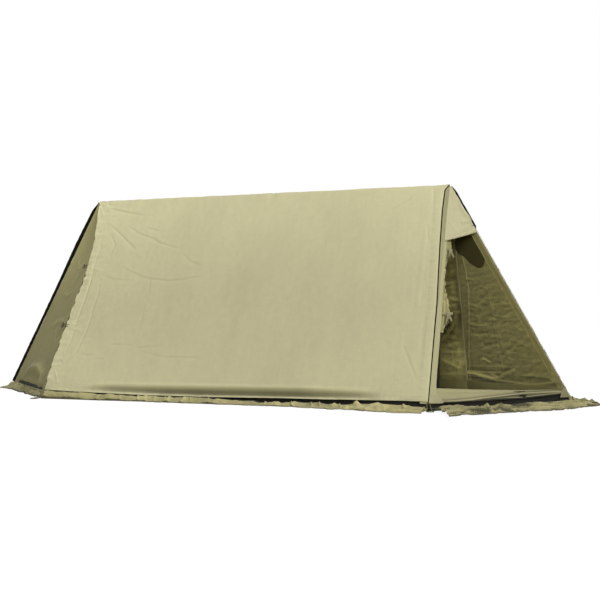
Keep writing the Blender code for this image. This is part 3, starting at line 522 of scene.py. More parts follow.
def closed_round(name, points, material):
    """A closed lump from a grid that wraps round in columns and closes at both end rows."""
    rows, ring = points.shape[0] - 2, points.shape[1] - 1
    body = points[1:-1, :ring].reshape(-1, 3)
    index = np.arange(len(body)).reshape(rows, ring)
    nxt = np.roll(index, -1, axis=1)
    quads = np.stack([index[:-1], index[1:], nxt[1:], nxt[:-1]], -1).reshape(-1, 4).tolist()
    caps = [(len(body), *pair) for pair in zip(index[0].tolist(), nxt[0].tolist())]
    caps += [(len(body) + 1, *pair) for pair in zip(nxt[-1].tolist(), index[-1].tolist())]
    all_points = np.concatenate([body, points[:1, 0], points[-1:, 0]])
    s, t = np.meshgrid(np.arange(ring) / ring, np.arange(rows) / (rows + 2))
    uv = np.concatenate([np.stack([s, t], -1).reshape(-1, 2), [[0, 0], [0, 1]]]) * 0.02
    piece = add_mesh(name, all_points, quads + caps, material, uv,
                     {"dirt": np.full(len(all_points), 0.1)})
    make_outward(piece)
    return piece


def place(piece, body, slot, *nodes):
    """Says which body a piece rides on and the nodes that it replaces; its slot is not used."""
    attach(piece, body)
    if nodes:
        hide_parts(*nodes)
    return piece


# Materials

def new_material(name):
    material = bpy.data.materials.new(name)
    material.use_nodes = True
    return material, material.node_tree


def principled(tree, colour, tone, height, strength, distance, **sockets):
    """Sets the shader of a tree: a colour times a tone, a bump and constant or linked sockets."""
    toned = add_node(tree, "ShaderNodeVectorMath", {0: colour, 3: tone}, operation="SCALE")
    bump = add_node(tree, "ShaderNodeBump", {"Strength": strength, "Distance": distance,
                                             "Height": height})
    shader = tree.nodes["Principled BSDF"]
    sockets.update(Base_Color=toned.outputs[0], Normal=bump.outputs[0])
    for key, value in sockets.items():
        socket = shader.inputs[key.replace("_", " ")]
        if isinstance(value, bpy.types.NodeSocket):
            tree.links.new(value, socket)
        else:
            socket.default_value = value


def scaled(tree, source, scale, turn=0.0):
    return add_node(tree, "ShaderNodeMapping", {"Vector": source, "Scale": scale,
                                                "Rotation": (0, 0, turn)}).outputs[0]


def maths(tree, operation, *values):
    return add_node(tree, "ShaderNodeMath", dict(enumerate(values)), operation=operation).outputs[0]


def weighted(tree, value, weight, rest):
    """value * weight + rest."""
    return maths(tree, "MULTIPLY_ADD", value, weight, rest)


def speckle(tree, spot, scale=1.0, detail=2.0, rough=0.5):
    """Noise from 0 to 1."""
    return add_node(tree, "ShaderNodeTexNoise", {"Vector": spot, "Scale": scale, "Detail": detail,
                                                 "Roughness": rough}).outputs["Fac"]


def blended(tree, share, colour, other):
    return add_node(tree, "ShaderNodeMix", {0: share, 6: (*colour, 1), 7: (*other, 1)},
                    data_type="RGBA").outputs[2]


def carried_value(tree, name):
    """A value that the mesh carries for its dirt and for the light and shade painted into its
    colour.
    """
    return add_node(tree, "ShaderNodeAttribute", attribute_name=name).outputs["Fac"]


def canvas(name, colour, mottle=0.10, slubs=0.09, rough=0.9, weave=0.35, sheen=0.08):
    """Proofed cotton canvas: a plain weave with slubs, soft mottling and dirt by the hems."""
    material, tree = new_material(name)
    uv = add_node(tree, "ShaderNodeUVMap", uv_map="cloth").outputs[0]
    thread = 0.0009
    waves = [add_node(tree, "ShaderNodeTexWave",
                      {"Vector": scaled(tree, uv, (1, 1, 1), turn), "Scale": 0.314 / thread,
                       "Distortion": 0.4, "Detail": 1.0}, bands_direction="X").outputs["Fac"]
             for turn in (0, math.pi / 2)]
    check = add_node(tree, "ShaderNodeTexChecker",
                     {"Vector": uv, "Scale": 1 / thread, "Color1": (1, 1, 1, 1),
                      "Color2": (0, 0, 0, 1)}).outputs["Fac"]
    woven = add_node(tree, "ShaderNodeMix", {0: check, 2: waves[0], 3: waves[1]}).outputs[0]
    clouds = speckle(tree, scaled(tree, uv, (3.1, 2.2, 1)), 1.0, 5.0, 0.6)
    grain = speckle(tree, uv, 190.0, 3.0)
    slub = maths(tree, "ADD", speckle(tree, scaled(tree, uv, (9, 330, 1))),
                 speckle(tree, scaled(tree, uv, (240, 7, 1))))
    tone = weighted(tree, clouds, mottle * 2, 1 - mottle)
    for source, middle, weight in ((slub, 1.0, slubs), (grain, 0.5, 0.12), (woven, 0.5, 0.05)):
        tone = weighted(tree, maths(tree, "SUBTRACT", source, middle), weight, tone)
    # The first value paints light into the tone where it is positive and shade where it is
    # negative; the second paints shade down to near black.
    for dirt_and_light, weight in (("pale", 0.2), ("painted_shade", -0.985)):
        tone = maths(tree, "MULTIPLY", tone, weighted(tree, carried_value(tree, dirt_and_light), weight, 1.0))
    smudge = maths(tree, "MULTIPLY", carried_value(tree, "dirt"), weighted(tree, grain, 1.2, 0.4))
    base = blended(tree, smudge, colour, tuple(c * 0.62 for c in colour))
    principled(tree, base, tone, weighted(tree, slub, 0.5, woven), weave, 0.0002,
               Roughness=weighted(tree, clouds, 0.12, rough - 0.06), Sheen_Weight=sheen,
               Sheen_Roughness=0.5, Specular_IOR_Level=3 * sheen)
    return material


def cord_material(name, colour):
    material, tree = new_material(name)
    uv = add_node(tree, "ShaderNodeUVMap", uv_map="cloth").outputs[0]
    fibres = speckle(tree, scaled(tree, uv, (900, 160, 1), 0.5), 1.0, 3.0)
    stain = weighted(tree, speckle(tree, uv, 22.0), 0.6, 0.7)
    tone = maths(tree, "MULTIPLY", weighted(tree, fibres, 0.7, 0.45), stain)
    principled(tree, colour, tone, fibres, 0.6, 0.0003, Roughness=0.92, Specular_IOR_Level=0.2)
    return material


def solid_material(name, colour, rough, metallic, grain, contrast, bump_height, worn_colour):
    """A hard material with grain along one direction of the row frame, and worn patches."""
    material, tree = new_material(name)
    spot = add_node(tree, "ShaderNodeTexCoord").outputs["Object"]
    lines = speckle(tree, scaled(tree, spot, grain), 1.0, 6.0, 0.65)
    patches = maths(tree, "MULTIPLY", speckle(tree, spot, 14.0, 4.0), 0.6)
    principled(tree, blended(tree, patches, colour, worn_colour),
               weighted(tree, lines, 2 * contrast, 1 - contrast), lines, 0.4, bump_height,
               Roughness=weighted(tree, lines, 0.3, rough - 0.15), Metallic=metallic)
    return material


# Canvas pieces

def dirt_near_hem(v, u, seed, reach):
    return 0.55 * fading(np.maximum(v, 0), reach) * (0.6 + 0.5 * noise(u / 0.08, v / 0.05, seed))


def hem_turn(u):
    """How far the near hem is turned in, from 0 at both corners to 1 along the middle."""
    return np.interp(u, (0, 0.22, 0.40, 0.8, 1.45, 1.75, 1.87), (0, 0.03, 0.6, 1, 1, 0.5, 0))


def near_roof_lift(u, v):
    """The near side's creases, its turned hem and the puckers round the door's loops."""
    lift = -folds(u, v, NEAR_CREASES, 1.25, 0.55)
    for height in DOOR_TOGGLE_HEIGHTS.values():
        edge = float(edge_bow(height / SLOPE))
        for rise, reach in ((0.055, 0.10), (0.012, 0.075), (-0.035, 0.12)):
            lift += fold(u, v, [(edge + 0.004, height), (edge + reach, height + rise)],
                         0.0026, 0.0075, run_out=0.7)
    tucked = 0.036 * ease((0.056 - v) / 0.040) - 0.010 * ease((NEAR_HEM - v) / NEAR_HEM)
    return lift - hem_turn(u) * tucked


def far_roof_lift(u, v):
    """The folds near the far side's right end, which show inside through the doorway."""
    from_corner = RIDGE_LENGTH - u
    in_sight = bell(from_corner, 0.30) * bell(v - 0.45, 0.38)
    wavy = u / 0.11 + 0.5 * noise(u / 0.07, v / 0.07, 83)
    crumpled = bell(from_corner - 0.06, 0.06) * bell(v - 0.18, 0.06)
    lift = -folds(from_corner, v, FAR_FOLDS, 1.6, 0.85, 1.4)
    lift -= 0.0035 * in_sight * crests(wavy, v / 0.036, 85)
    lift -= 0.0032 * in_sight * cloud(u / 0.045, v / 0.022 + u / 0.12, 97)
    lift -= 0.0050 * crumpled * crests(u / 0.05, v / 0.04, 91)
    return lift * ease(from_corner / 0.035)


def roof_grid():
    """u and w of the roof's grid, with w across it from the near hem, 0 at the ridge."""
    ridge_rows = np.array((-0.026, -0.019, -0.013, -0.009, -0.006, -0.0035, -0.0015))
    low = spread(-SLOPE, -0.034, 230, HEM_LIP, (0.0,))[0]
    far_low = spread(-SLOPE, -0.034, 200, HEM, (0.0,))[0]
    w = np.concatenate([low, ridge_rows, [0], -ridge_rows[::-1], -far_low[::-1]])
    v = SLOPE - np.abs(w)
    near_side = w < 0
    scallop = 0.0060 * np.abs(noise(v / 0.045, 0, 61)) + 0.003 * noise(v / 0.018, 0, 63)
    scallop = np.maximum(scallop * arch(v / SLOPE, 0.5), 0)
    left = np.where(near_side, edge_bow(v / SLOPE) + EDGE_SET_BACK + scallop, 0.0)
    right = RIDGE_LENGTH - np.where(near_side, set_back(v * NEAR_ROOF.v[2]), EDGE_GAP)
    u = spread(left, right, 370, NARROW_HEM, HEM, 0.5)
    return u, np.broadcast_to(w[:, None], u.shape)


def roof_base(u, v, w):
    """The roof's two slopes, with the sag of the near hem and a small bend over the ridge."""
    sag = np.interp(u, (0, 0.10, 0.25, 0.35, 0.46, 0.64, 0.92, 1.09, 1.30, 1.46, 1.66, 1.81,
                        1.96, 2.10),
                    (0.016, 0.011, 0.007, 0.004, 0.001, -0.002, -0.002, 0.0, 0.003, 0.004, 0.006,
                     0.009, 0.012, 0.010)) + 0.013 * hem_turn(u)
    shifted = v + np.where(w < 0, sag, 0.0) * np.clip(1 - v / 0.3, 0, 1) ** 2
    slant = np.sqrt(np.maximum(SLOPE - shifted, 0) ** 2 + 0.004 ** 2)
    return np.stack([-RIDGE_LENGTH / 2 + u, np.sign(w) * (SLOPE - shifted) * NEAR_ROOF.v[1],
                     RIDGE_Z - NEAR_ROOF.v[2] * slant], -1)


def roof_lift(u, v, near_side, from_left, from_right):
    """The roof's sags, hems, seams and creases."""
    middle = arch(v / SLOPE, 0.8)
    lift = -0.006 * arch(u / RIDGE_LENGTH, 0.7) * middle
    lift += 0.0022 * cloud(u / 0.50, v / 0.9 + near_side * 7, 11) * middle ** 0.5
    lift += 0.0011 * noise(u / 0.085, v / 0.9 + near_side * 5, 13) * (0.4 + 0.6 * middle)
    lift += 0.00045 * cloud(u / 0.045, v / 0.07 + near_side * 9, 15)
    lift += 0.0014 * noise(u / 0.034, v / 0.4, 17) * fading(SLOPE - v, 0.05)
    lift += 0.0008 * noise(u / 0.020, v / 0.3, 19) * fading(v, 0.05)
    lift += np.where(near_side, near_roof_lift(u, v), far_roof_lift(u, v))
    hem_width = np.where(near_side, NEAR_HEM, BROAD_HEM)
    lift += sewn_hem(v, u, 31, hem_width) + sewn_hem(from_left, v, 33, SLIM_HEM, 0.0007)
    lift += sewn_hem(from_right, v, 35) + 0.0026 * fading(from_right, 0.05)
    pucker = noise(v / 0.020, u / 0.07, 65) + 0.7 * noise(v / 0.045, u / 0.10, 67)
    lift += 0.0030 * pucker * fading(from_left, 0.035) * near_side
    apex = np.hypot(u - 0.02, SLOPE - v)
    lift += 0.0030 * noise(u / 0.014, v / 0.018, 69) * fading(apex, 0.05) * near_side
    spoke = np.arctan2(SLOPE - v, u + 0.01)
    lift += 0.0040 * noise(spoke / 0.13, apex / 0.25, 85) * fading(apex, 0.085) * near_side
    lift += 0.0009 * noise(u / 0.020, v / 0.30, 71) * fading(from_right, 0.12)
    lift += 0.0008 * cloud(u / 0.06, v / 0.10, 73) * fading(from_left, 0.35) * near_side
    lift += 0.00035 * cloud(u / 0.020, v / 0.026, 75) * (0.5 + fading(from_left, 0.3))
    seams = ease(from_left / 0.012) * ease(from_right / 0.012)
    return lift * np.where(near_side, 1.0, seams)


def roof(material, lining):
    """One sheet over the ridge pole from the near hem to the far hem."""
    u, w = roof_grid()
    v = SLOPE - np.abs(w)
    near_side = w < 0
    from_left, from_right, from_corner = u - u[:, :1], u[:, -1:] - u, RIDGE_LENGTH - u
    lift = roof_lift(u, v, near_side, from_left, from_right)
    # Painted highlight on the crests of the folds and painted shade in their hollows, from their
    # relief.
    relief_shading = relief(lift)

    dirt = dirt_near_hem(v, u, 41, 0.05) + 0.12 * fading(from_left, 0.02)
    share = v / SLOPE
    # Painted light: lighter near the ridge and near the foot, lighter towards both ends, and a
    # painted highlight along the right hem's edge.
    pale = 1.1 * np.clip((share - 0.45) / 0.55, 0, 1) ** 1.25 + 0.3 * np.clip(1 - share / 0.3, 0, 1)
    pale += 0.55 * fading(u, 0.25) + 0.7 * fading(from_corner, 0.30)
    pale += 0.6 * bell(from_right, 0.006) + np.where(near_side, 0.28, 0.10) * relief_shading
    # Painted shade: a dark band along the turned-in part of the near hem, as if it faced the
    # ground.
    turned_hem_shade = hem_turn(u) * ease((v - 0.013) / 0.005) * ease((0.046 - v) / 0.018)
    painted_shade = np.where(near_side, 0.48 * turned_hem_shade, 0.0)
    # Painted shade on the far roof's inner side, darkest up by the ridge, under the hood.
    under_hood_shade = 0.40 * bell(SLOPE - v, 0.36) * ~near_side
    # Painted light and painted shadow on the roof's inner side by the right corner: lit crumples
    # and folds, and a shadow band below a fold.
    crumpled = bell(from_corner - 0.06, 0.10) * bell(v - 0.18, 0.11)
    foot = (4.6 + 1.8 * noise(u / 0.012, v / 0.012, 99)) * crumpled
    foot += fold(from_corner, v, [(0.19, 0.080), (0.10, 0.090), (-0.02, 0.082)], 3.0, 0.007)
    foot -= fold(from_corner, v, [(0.16, 0.29), (0.08, 0.40), (-0.03, 0.56)], 1.8, 0.030)
    foot += fold(from_corner, v, [(0.17, 0.42), (0.11, 0.50), (0.03, 0.62)], 3.0, 0.035)
    return cloth("roof_canvas", roof_base(u, v, w), lift, (u, w), material, dirt, lining=lining,
                 pale=pale, painted_shade=painted_shade, inner_painted_light=foot - 0.9 * relief_shading, inner_painted_shade=under_hood_shade)


def beak_lift(face, u, v, seed, lift_of):
    """The lift of a beak's triangle: its sag, its hems and its own folds."""
    top = face.top[1] * TOP_SHARE
    from_left, from_right = u - face.left(v) - EDGE_GAP, face.right(v) - EDGE_GAP - u
    width = np.maximum(from_left + from_right, 1e-6)
    middle = arch(from_left / width, 0.8) * arch(v / top, 0.6)
    lift = -0.004 * middle + 0.0018 * cloud(u / 0.25, v / 0.4, seed) * middle
    lift += 0.0005 * cloud(u / 0.045, v / 0.04, seed + 3)
    lift += sewn_hem(v, u, seed + 5)
    fade = np.clip(width / 0.06, 0, 1)
    lift += fade * sewn_hem(from_left, v, seed + 7, SLIM_HEM, 0.0006)
    lift += fade * sewn_hem(from_right, v, seed + 9, SLIM_HEM, 0.0006)
    lift += lift_of(u, v, middle) * ease(from_left / 0.03) * ease(from_right / 0.03)
    return lift * ease(from_left / 0.008) * ease(from_right / 0.008)


def beak_sheet(name, face, material, lining, seed, lift_of):
    """A triangle of canvas between two sloping edges, hemmed along its foot."""
    top = face.top[1] * TOP_SHARE
    v = spread(0, top, 300, HEM, (0.0,))[0]
    u = spread(face.left(v) + EDGE_GAP, face.right(v) - EDGE_GAP, 150, NARROW_HEM, NARROW_HEM)
    v = np.broadcast_to(v[:, None], u.shape)
    lift = beak_lift(face, u, v, seed, lift_of)
    dirt = dirt_near_hem(v, u, seed + 11, 0.05)
    # Painted highlight on the crests of the folds and painted shade in their hollows, from their
    # relief.
    relief_shading = relief(lift)
    # Painted highlights along the crests of the lowest folds, on the inner side.
    crest_highlights = fold(u, v, FOOT_HIGHLIGHT, 3.6, 0.007) + fold(u, v, SECOND_HIGHLIGHT, 2.0, 0.006)
    return cloth(name, face.at(u, v), lift, (u, v), material, dirt, lining=lining,
                 pale=0.10 * relief_shading, inner_painted_light=crest_highlights - 0.9 * relief_shading)


def right_far_lift(u, v, middle):
    """Folds and seams of the right beak's far face, which is seen from inside."""
    lift = -flat_seam(u, v, [(0.515, 0.80), (0.528, 0.675), (0.55, 0.589), (0.73, 0.203),
                             (0.80, 0.02)], 0.003, 0.006)
    lift -= flat_seam(u, v, [(0.521, 0.565), (0.505, 0.592), (0.465, 0.607), (0.405, 0.605),
                             (0.388, 0.590), (0.386, 0.560), (0.456, 0.19), (0.459, 0.126)],
                      0.0016, 0.004)
    lines = [
        ([(0.545, 0.655), (0.47, 0.65)], 0.004, 0.008),
        ([(0.635, 0.397), (0.56, 0.385), (0.479, 0.387)], 0.004, 0.009),
        ([(0.60, 0.52), (0.53, 0.50), (0.47, 0.505)], 0.003, 0.010),
        ([(0.62, 0.45), (0.55, 0.44), (0.49, 0.445)], 0.0025, 0.010),
        ([(0.66, 0.33), (0.58, 0.325), (0.50, 0.335)], 0.003, 0.010),
        ([(0.646, 0.17), (0.602, 0.19), (0.55, 0.165)], 0.006, 0.009),
        ([(0.587, 0.107), (0.512, 0.082), (0.442, 0.11), (0.356, 0.137)], 0.007, 0.010),
        ([(0.308, 0.1), (0.232, 0.116)], 0.004, 0.010),
        ([(0.893, 0.197), (0.86, 0.15), (0.838, 0.112)], 0.010, 0.014),
        ([(0.93, 0.24), (0.86, 0.21), (0.83, 0.16)], 0.008, 0.011),
        ([(1.03, 0.16), (0.934, 0.133)], 0.008, 0.011),
        ([(0.98, 0.30), (0.90, 0.27)], 0.006, 0.012),
        ([(1.00, 0.23), (0.92, 0.20), (0.88, 0.22)], 0.007, 0.011),
        ([(1.12, 0.035), (0.98, 0.075), (0.841, 0.095), (0.708, 0.095), (0.517, 0.07)],
         0.014, 0.020),
        ([(1.05, 0.045), (0.90, 0.040), (0.78, 0.050)], 0.009, 0.014),
    ]
    lift -= folds(u, v, lines, 1.6, 0.75, 1.4)
    sagging = bell(v - 0.30, 0.30) * middle
    wavy = u / 0.16 + 0.3 * noise(u / 0.1, v / 0.1, 88)
    lift -= 0.0035 * crests(wavy, v / 0.035, 87) * sagging
    lift -= 0.0026 * cloud(u / 0.055 + v / 0.2, v / 0.022 + u / 0.15, 93) * (0.3 + sagging)
    lift -= 0.0085 * crests(u / 0.30 + v, v / 0.030 + 1.2 * u, 95) * bell(v - 0.085, 0.060)
    lift -= 0.0012 * noise(u / 0.05, v / 0.012, 89) * middle
    return lift


def inside_right_far(u, v):
    """The lift of the inner side of the right beak's far triangle."""
    return beak_lift(RIGHT_FAR, u, v, 81, right_far_lift) - CANVAS


def left_far_lift(u, v, middle):
    """Plain folds of the left beak's far face, and its seam."""
    lines = [([(0.22 + shift, 0.10), (0.28 + shift, 0.22)], 0.004, 0.014)
             for shift in (0.0, 0.16, 0.30)]
    lines.append(([(0.30, 0.95), (0.42, 0.70)], 0.0035, 0.014))
    lines.append(([(0.20, 0.45), (0.50, 0.40), (0.66, 0.44)], 0.003, 0.018))
    seam = flat_seam(u, v, [(0.42, -0.02), (0.42, 1.2)], 0.0012, 0.006)
    return folds(u, v, lines) + seam + 0.0012 * creased(u / 0.2, v / 0.05, 131) * middle


def left_door(material, lining):
    """The closed door, ruled from the front edge to the roof's drawn-in edge."""
    rows = spread(0, TOP_SHARE, 180, tuple(h / SLOPE for h in HEM_LIP), (0.0,))[0]
    front = front_edge(LEFT, rows[:, None])
    edge = NEAR_ROOF.at(edge_bow(rows), rows * SLOPE)
    width = np.linalg.norm(edge - front, axis=1)
    d = spread(0.0, width - 0.0008, 130, NARROW_HEM, HEM)
    share = d / width[:, None]
    base = front[:, None] + (edge - front)[:, None] * share[..., None]
    v = np.broadcast_to((rows * SLOPE)[:, None], d.shape)
    rest = width[:, None] - d
    middle = arch(share, 0.8) * arch(rows[:, None], 0.6)
    lift = -0.010 * middle + 0.003 * cloud(d / 0.25, v / 0.45, 211) * middle
    lift += 0.0006 * cloud(d / 0.05, v / 0.05, 213)
    from_edge = [
        ([(0.66, 0.02), (0.60, 0.10), (0.45, 0.135), (0.27, 0.125), (0.16, 0.07)], 0.017, 0.028),
        ([(0.36, 0.38), (0.52, 0.30), (0.60, 0.20)], 0.004, 0.014),
        ([(0.10, 0.62), (0.24, 0.60), (0.36, 0.66)], 0.004, 0.016),
        ([(0.06, 0.86), (0.16, 0.78), (0.24, 0.80)], 0.003, 0.014),
        ([(0.20, 0.40), (0.40, 0.44), (0.54, 0.40)], 0.004, 0.018),
    ]
    lift += folds(d, v, from_edge)
    for height in DOOR_TOGGLE_HEIGHTS.values():
        for turn in (-0.9, -0.3, 0.35, 1.0):
            start = (float(np.interp(height, rows * SLOPE, width)) - 0.045, height)
            end = (start[0] - 0.11 * math.cos(turn), start[1] + 0.11 * math.sin(turn))
            lift += fold(d, v, [start, end], 0.0036, 0.009, run_out=0.8)
    lift += sewn_hem(v, d, 221, NEAR_HEM) + sewn_hem(d, v, 223, SLIM_HEM, 0.0006)
    lift += sewn_hem(rest, v, 225, 0.036)
    turn = ease(rest / 0.10) * ease(d / 0.10)
    tucked = 0.010 * ease((0.050 - v) / 0.035) - 0.007 * ease((NEAR_HEM - v) / NEAR_HEM)
    lift -= turn * tucked
    dirt = dirt_near_hem(v, d, 227, 0.08) + 0.10
    # Painted highlight on the crests of the folds and painted shade in their hollows, from their
    # relief.
    relief_shading = relief(lift)
    # Painted light and shade: a highlight on the turned hem, lighter towards the top and darker
    # near the foot.
    share_up = v / SLOPE
    pale = 0.5 * turn * bell(v, 0.012) + 0.30 * relief_shading
    pale += 1.7 * ease((share_up - 0.35) / 0.4) - 0.5 * ease((0.25 - share_up) / 0.2)
    return cloth("left_door_canvas", base, lift, (d, v), material, dirt, lining=lining, pale=pale)


def hood(material):
    """The hood over the doorway: taut at the roof, wrinkled and rolled at its free edges."""
    s = spread(0, 1, 90, (0.0, 0.004, 0.012), (0.0, 0.006, 0.014, 0.03, 0.05, 0.08))[0]
    t = spread(0, 1, 110, (0.0, 0.004, 0.010, 0.018, 0.030, 0.045), (0.0,))[0]
    low = DOORWAY_HEIGHT + HOOD_RISE * s
    top = RIGHT_NEAR.top[1] * TOP_SHARE
    v = low + (top - low) * t[:, None]
    u = RIGHT_NEAR.left(v) + (RIGHT_NEAR.right(v) - RIGHT_NEAR.left(v)) * s
    from_low = v - low
    from_right = RIGHT_NEAR.right(v) - u
    from_left = u - RIGHT_NEAR.left(v)
    free = fading(from_low, 0.10)
    lift = 0.0030 * free * np.sin(np.pi * s) + 0.0016 * cloud(u / 0.09, v / 0.11, 307)
    lift = lift * ease(from_left / 0.03)
    right_side = fading(from_right, 0.05)
    lift += right_side * (0.0022 * cloud(u / 0.03, v / 0.045, 311)
                          + 0.0030 * creased(u / 0.06 + v / 0.09, v / 0.035, 313))
    lift += 0.0050 * bell(from_low - 0.006, 0.007) * ease(from_left / 0.01)
    lift -= 0.0016 * bell(from_low - 0.019, 0.004)
    lift += seam_pucker(from_low, u, 0.020, 317, 0.0009)
    lift += sewn_hem(from_right, v, 319, SLIM_HEM, 0.0008)
    lines = [
        ([(0.477, 0.945), (0.447, 0.958), (0.405, 0.950)], 0.007, 0.010),
        ([(0.470, 0.935), (0.430, 0.925), (0.385, 0.900)], 0.005, 0.012),
        ([(0.470, 0.965), (0.440, 1.000), (0.425, 1.040)], 0.005, 0.010),
        ([(0.455, 1.000), (0.425, 1.030), (0.412, 1.080)], 0.004, 0.010),
        ([(0.395, 0.885), (0.360, 0.905), (0.330, 0.960)], 0.0035, 0.014),
        ([(0.395, 1.150), (0.385, 1.050), (0.360, 0.960)], 0.0030, 0.012),
        ([(0.405, 1.120), (0.420, 1.040), (0.440, 0.980)], 0.0030, 0.009),
    ]
    lift += folds(u, v, lines, sharp=1.3)
    scallop = 0.004 * noise(v / 0.028, 0, 323) + 0.0025 * np.sin(v * 120)
    shift = scallop * fading(from_right, 0.02) * ease((top - v) / 0.06)
    base = RIGHT_NEAR.at(u - np.maximum(shift, 0), v)
    dirt = 0.25 * fading(from_low, 0.01) + 0.10 * right_side
    return cloth("right_hood_canvas", base, lift, (u, v), material, dirt, 0.0012)


def corner_point(height):
    """The roof's right near edge at a height above the hem."""
    share = np.asarray(height, float)[..., None] / WALL_HEIGHT
    return corner(RIGHT, NEAR) + (peak(RIGHT) - corner(RIGHT, NEAR)) * share


def hem_shadow_line(d, height):
    """The painted shadow line under the roof's hem: 1 in a narrow band that starts below its edge.
    """
    from_hem = d + set_back(height)
    return ease((from_hem + 0.002) / 0.0015) * ease((0.0070 - from_hem) / 0.002)


def wrapped_strip(name, heights, inner, outer, material, seed):
    """Cloth that lies under the roof's hem, turns the corner and ends beside the doorway."""
    d = spread(-inner, outer, 26, (0.0, 0.004, 0.010), (0.0, 0.0010, 0.0030, 0.0110, 0.0130))
    extra = np.array((-0.004, -0.002, 0.0, 0.002, 0.004))
    hem_edge = np.array((-0.0025, -0.0010, 0.0010, 0.0030, 0.0050, 0.0065, 0.0080))
    under = np.clip(hem_edge - set_back(heights)[:, None], d[:, :1], d[:, -1:])
    d = np.concatenate([d, np.clip(extra + 0 * d[:, :1], d[:, :1], d[:, -1:]), under], axis=1)
    d = np.sort(d, axis=1)
    d = np.maximum.accumulate(d + np.arange(d.shape[1]) * 1e-6, axis=1)
    bend = np.sqrt(d * d + 0.002 ** 2)
    along_roof = (bend - d) / 2
    along_beak = (bend + d) / 2
    base = (corner_point(heights)[:, None] + along_beak[..., None] * RIGHT_NEAR.u
            - along_roof[..., None] * NEAR_ROOF.u)
    height = np.broadcast_to(heights[:, None], d.shape)
    lift = 0.0006 * cloud(d / 0.03, height / 0.10, seed)
    lift += 0.0009 * noise(d / 0.05, height / 0.20, seed + 1)
    lift -= 0.0010 * ease(-d / 0.004)
    lift += sewn_hem(outer[:, None] - d, height, seed + 3, SLIM_HEM, 0.0008)
    lift += flat_seam(d, height, [(0.006, -1), (0.006, 2)], 0.0007, 0.003)
    lift += 0.0008 * noise(height / 0.016, d / 0.05, seed + 5) * bell(d, 0.012)
    dirt = dirt_near_hem(height, d, seed + 7, 0.05)
    return cloth(name, base, lift, (d, height), material, dirt, painted_shade=hem_shadow_line(d, height))


def side_strips(material):
    hood_height = DOORWAY_HEIGHT * RIGHT_NEAR.v[2]
    low = spread(0, hood_height - 0.002, 110, HEM, (0.0,))[0]
    v = low / RIGHT_NEAR.v[2]
    outer = strip_edge(v) - RIGHT_NEAR.left(v)
    strip = wrapped_strip("right_side_strip_canvas", low, 0.040 + 0 * low, outer, material, 401)
    high = spread(hood_height - 0.001, WALL_HEIGHT - 0.014, 44)[0]
    inner = np.interp(high, (hood_height, 1.05, WALL_HEIGHT), (0.040, 0.040, 0.016))
    wrap = wrapped_strip("right_corner_wrap", high, inner, 0.0 * high + 0.0006, material, 421)
    return strip, wrap


def sill(material):
    """The low strip across the doorway's foot: a sagging lens that narrows towards the tip."""
    share = spread(0, 1, 34, (0.0, 0.02, 0.05, 0.12), (0.0, 0.02, 0.06, 0.14))[0]
    s = spread(0, 1, 220)[0]
    start = strip_edge(0.06) - 0.004
    end = RIGHT_NEAR.right(0.035) - 0.004
    u = start + (end - start) * s
    low = np.interp(u, (0.041, 0.14, 0.241, 0.407, 0.513, 0.61, 0.811),
                    (0, 0, 0.002, 0.005, 0.006, 0.009, 0.020))
    middle = np.interp(u, (0.041, 0.14, 0.241, 0.407, 0.546, 0.80),
                       (0.004, 0.006, 0.010, 0.021, 0.031, 0.033))
    high = np.interp(u, (0.06, 0.25, 0.40, 0.60, 0.80), (0.074, 0.064, 0.058, 0.050, 0.044))
    v = low + (high - low) * share[:, None]
    u = np.broadcast_to(u, v.shape)
    u = np.clip(u, strip_edge(v) - 0.004, RIGHT_NEAR.right(v) - EDGE_GAP)
    from_low, from_high, from_middle = v - low, high - v, v - middle
    lens = arch(s, 1.2)
    lift = -0.012 * lens * share[:, None] ** 1.3
    lift += 0.0045 * lens * bell(from_middle, 0.006)
    lift -= 0.0060 * lens * ease(-from_middle / 0.004)
    lift += 0.0040 * lens * bell(from_low, 0.004)
    lift += 0.0016 * cloud(u / 0.09, v / 0.04, 451) + sewn_hem(from_low, u, 453, 0.006)
    lift += sewn_hem(from_high, u, 455, 0.007)
    lift += fold(u, v, [(0.10, 0.055), (0.30, 0.048), (0.52, 0.044)], 0.004, 0.006)
    lift -= 0.0012 * fading(u - u[:, :1], 0.01)
    dirt = dirt_near_hem(v, u, 457, 0.03)
    # Painted shade: dark under the sagging middle fold, in a band below it and in a line under the
    # low hem.
    painted_shade = 0.55 * ease(-from_middle / 0.004) * ease(from_low / 0.004 - 0.6)
    painted_shade += 0.45 * bell(from_middle - 0.010, 0.004)
    painted_shade += 0.95 * ease((0.0075 - from_low) / 0.002) * ease((u - 0.03) / 0.02)
    # Painted light and shade: a highlight along the middle fold, darker towards the tip, and a
    # highlight on the low hem near the tip.
    pale = 0.9 * bell(from_middle, 0.004) - 0.2 - 1.5 * ease((u - 0.22) / 0.45)
    pale += 5.0 * ease((u - 0.42) / 0.08) * bell(from_low - 0.0095, 0.0018)
    return cloth("right_door_sill_canvas", RIGHT_NEAR.at(u, v), lift, (u, v), material, dirt,
                 pale=pale, painted_shade=np.clip(painted_shade, 0, 1))


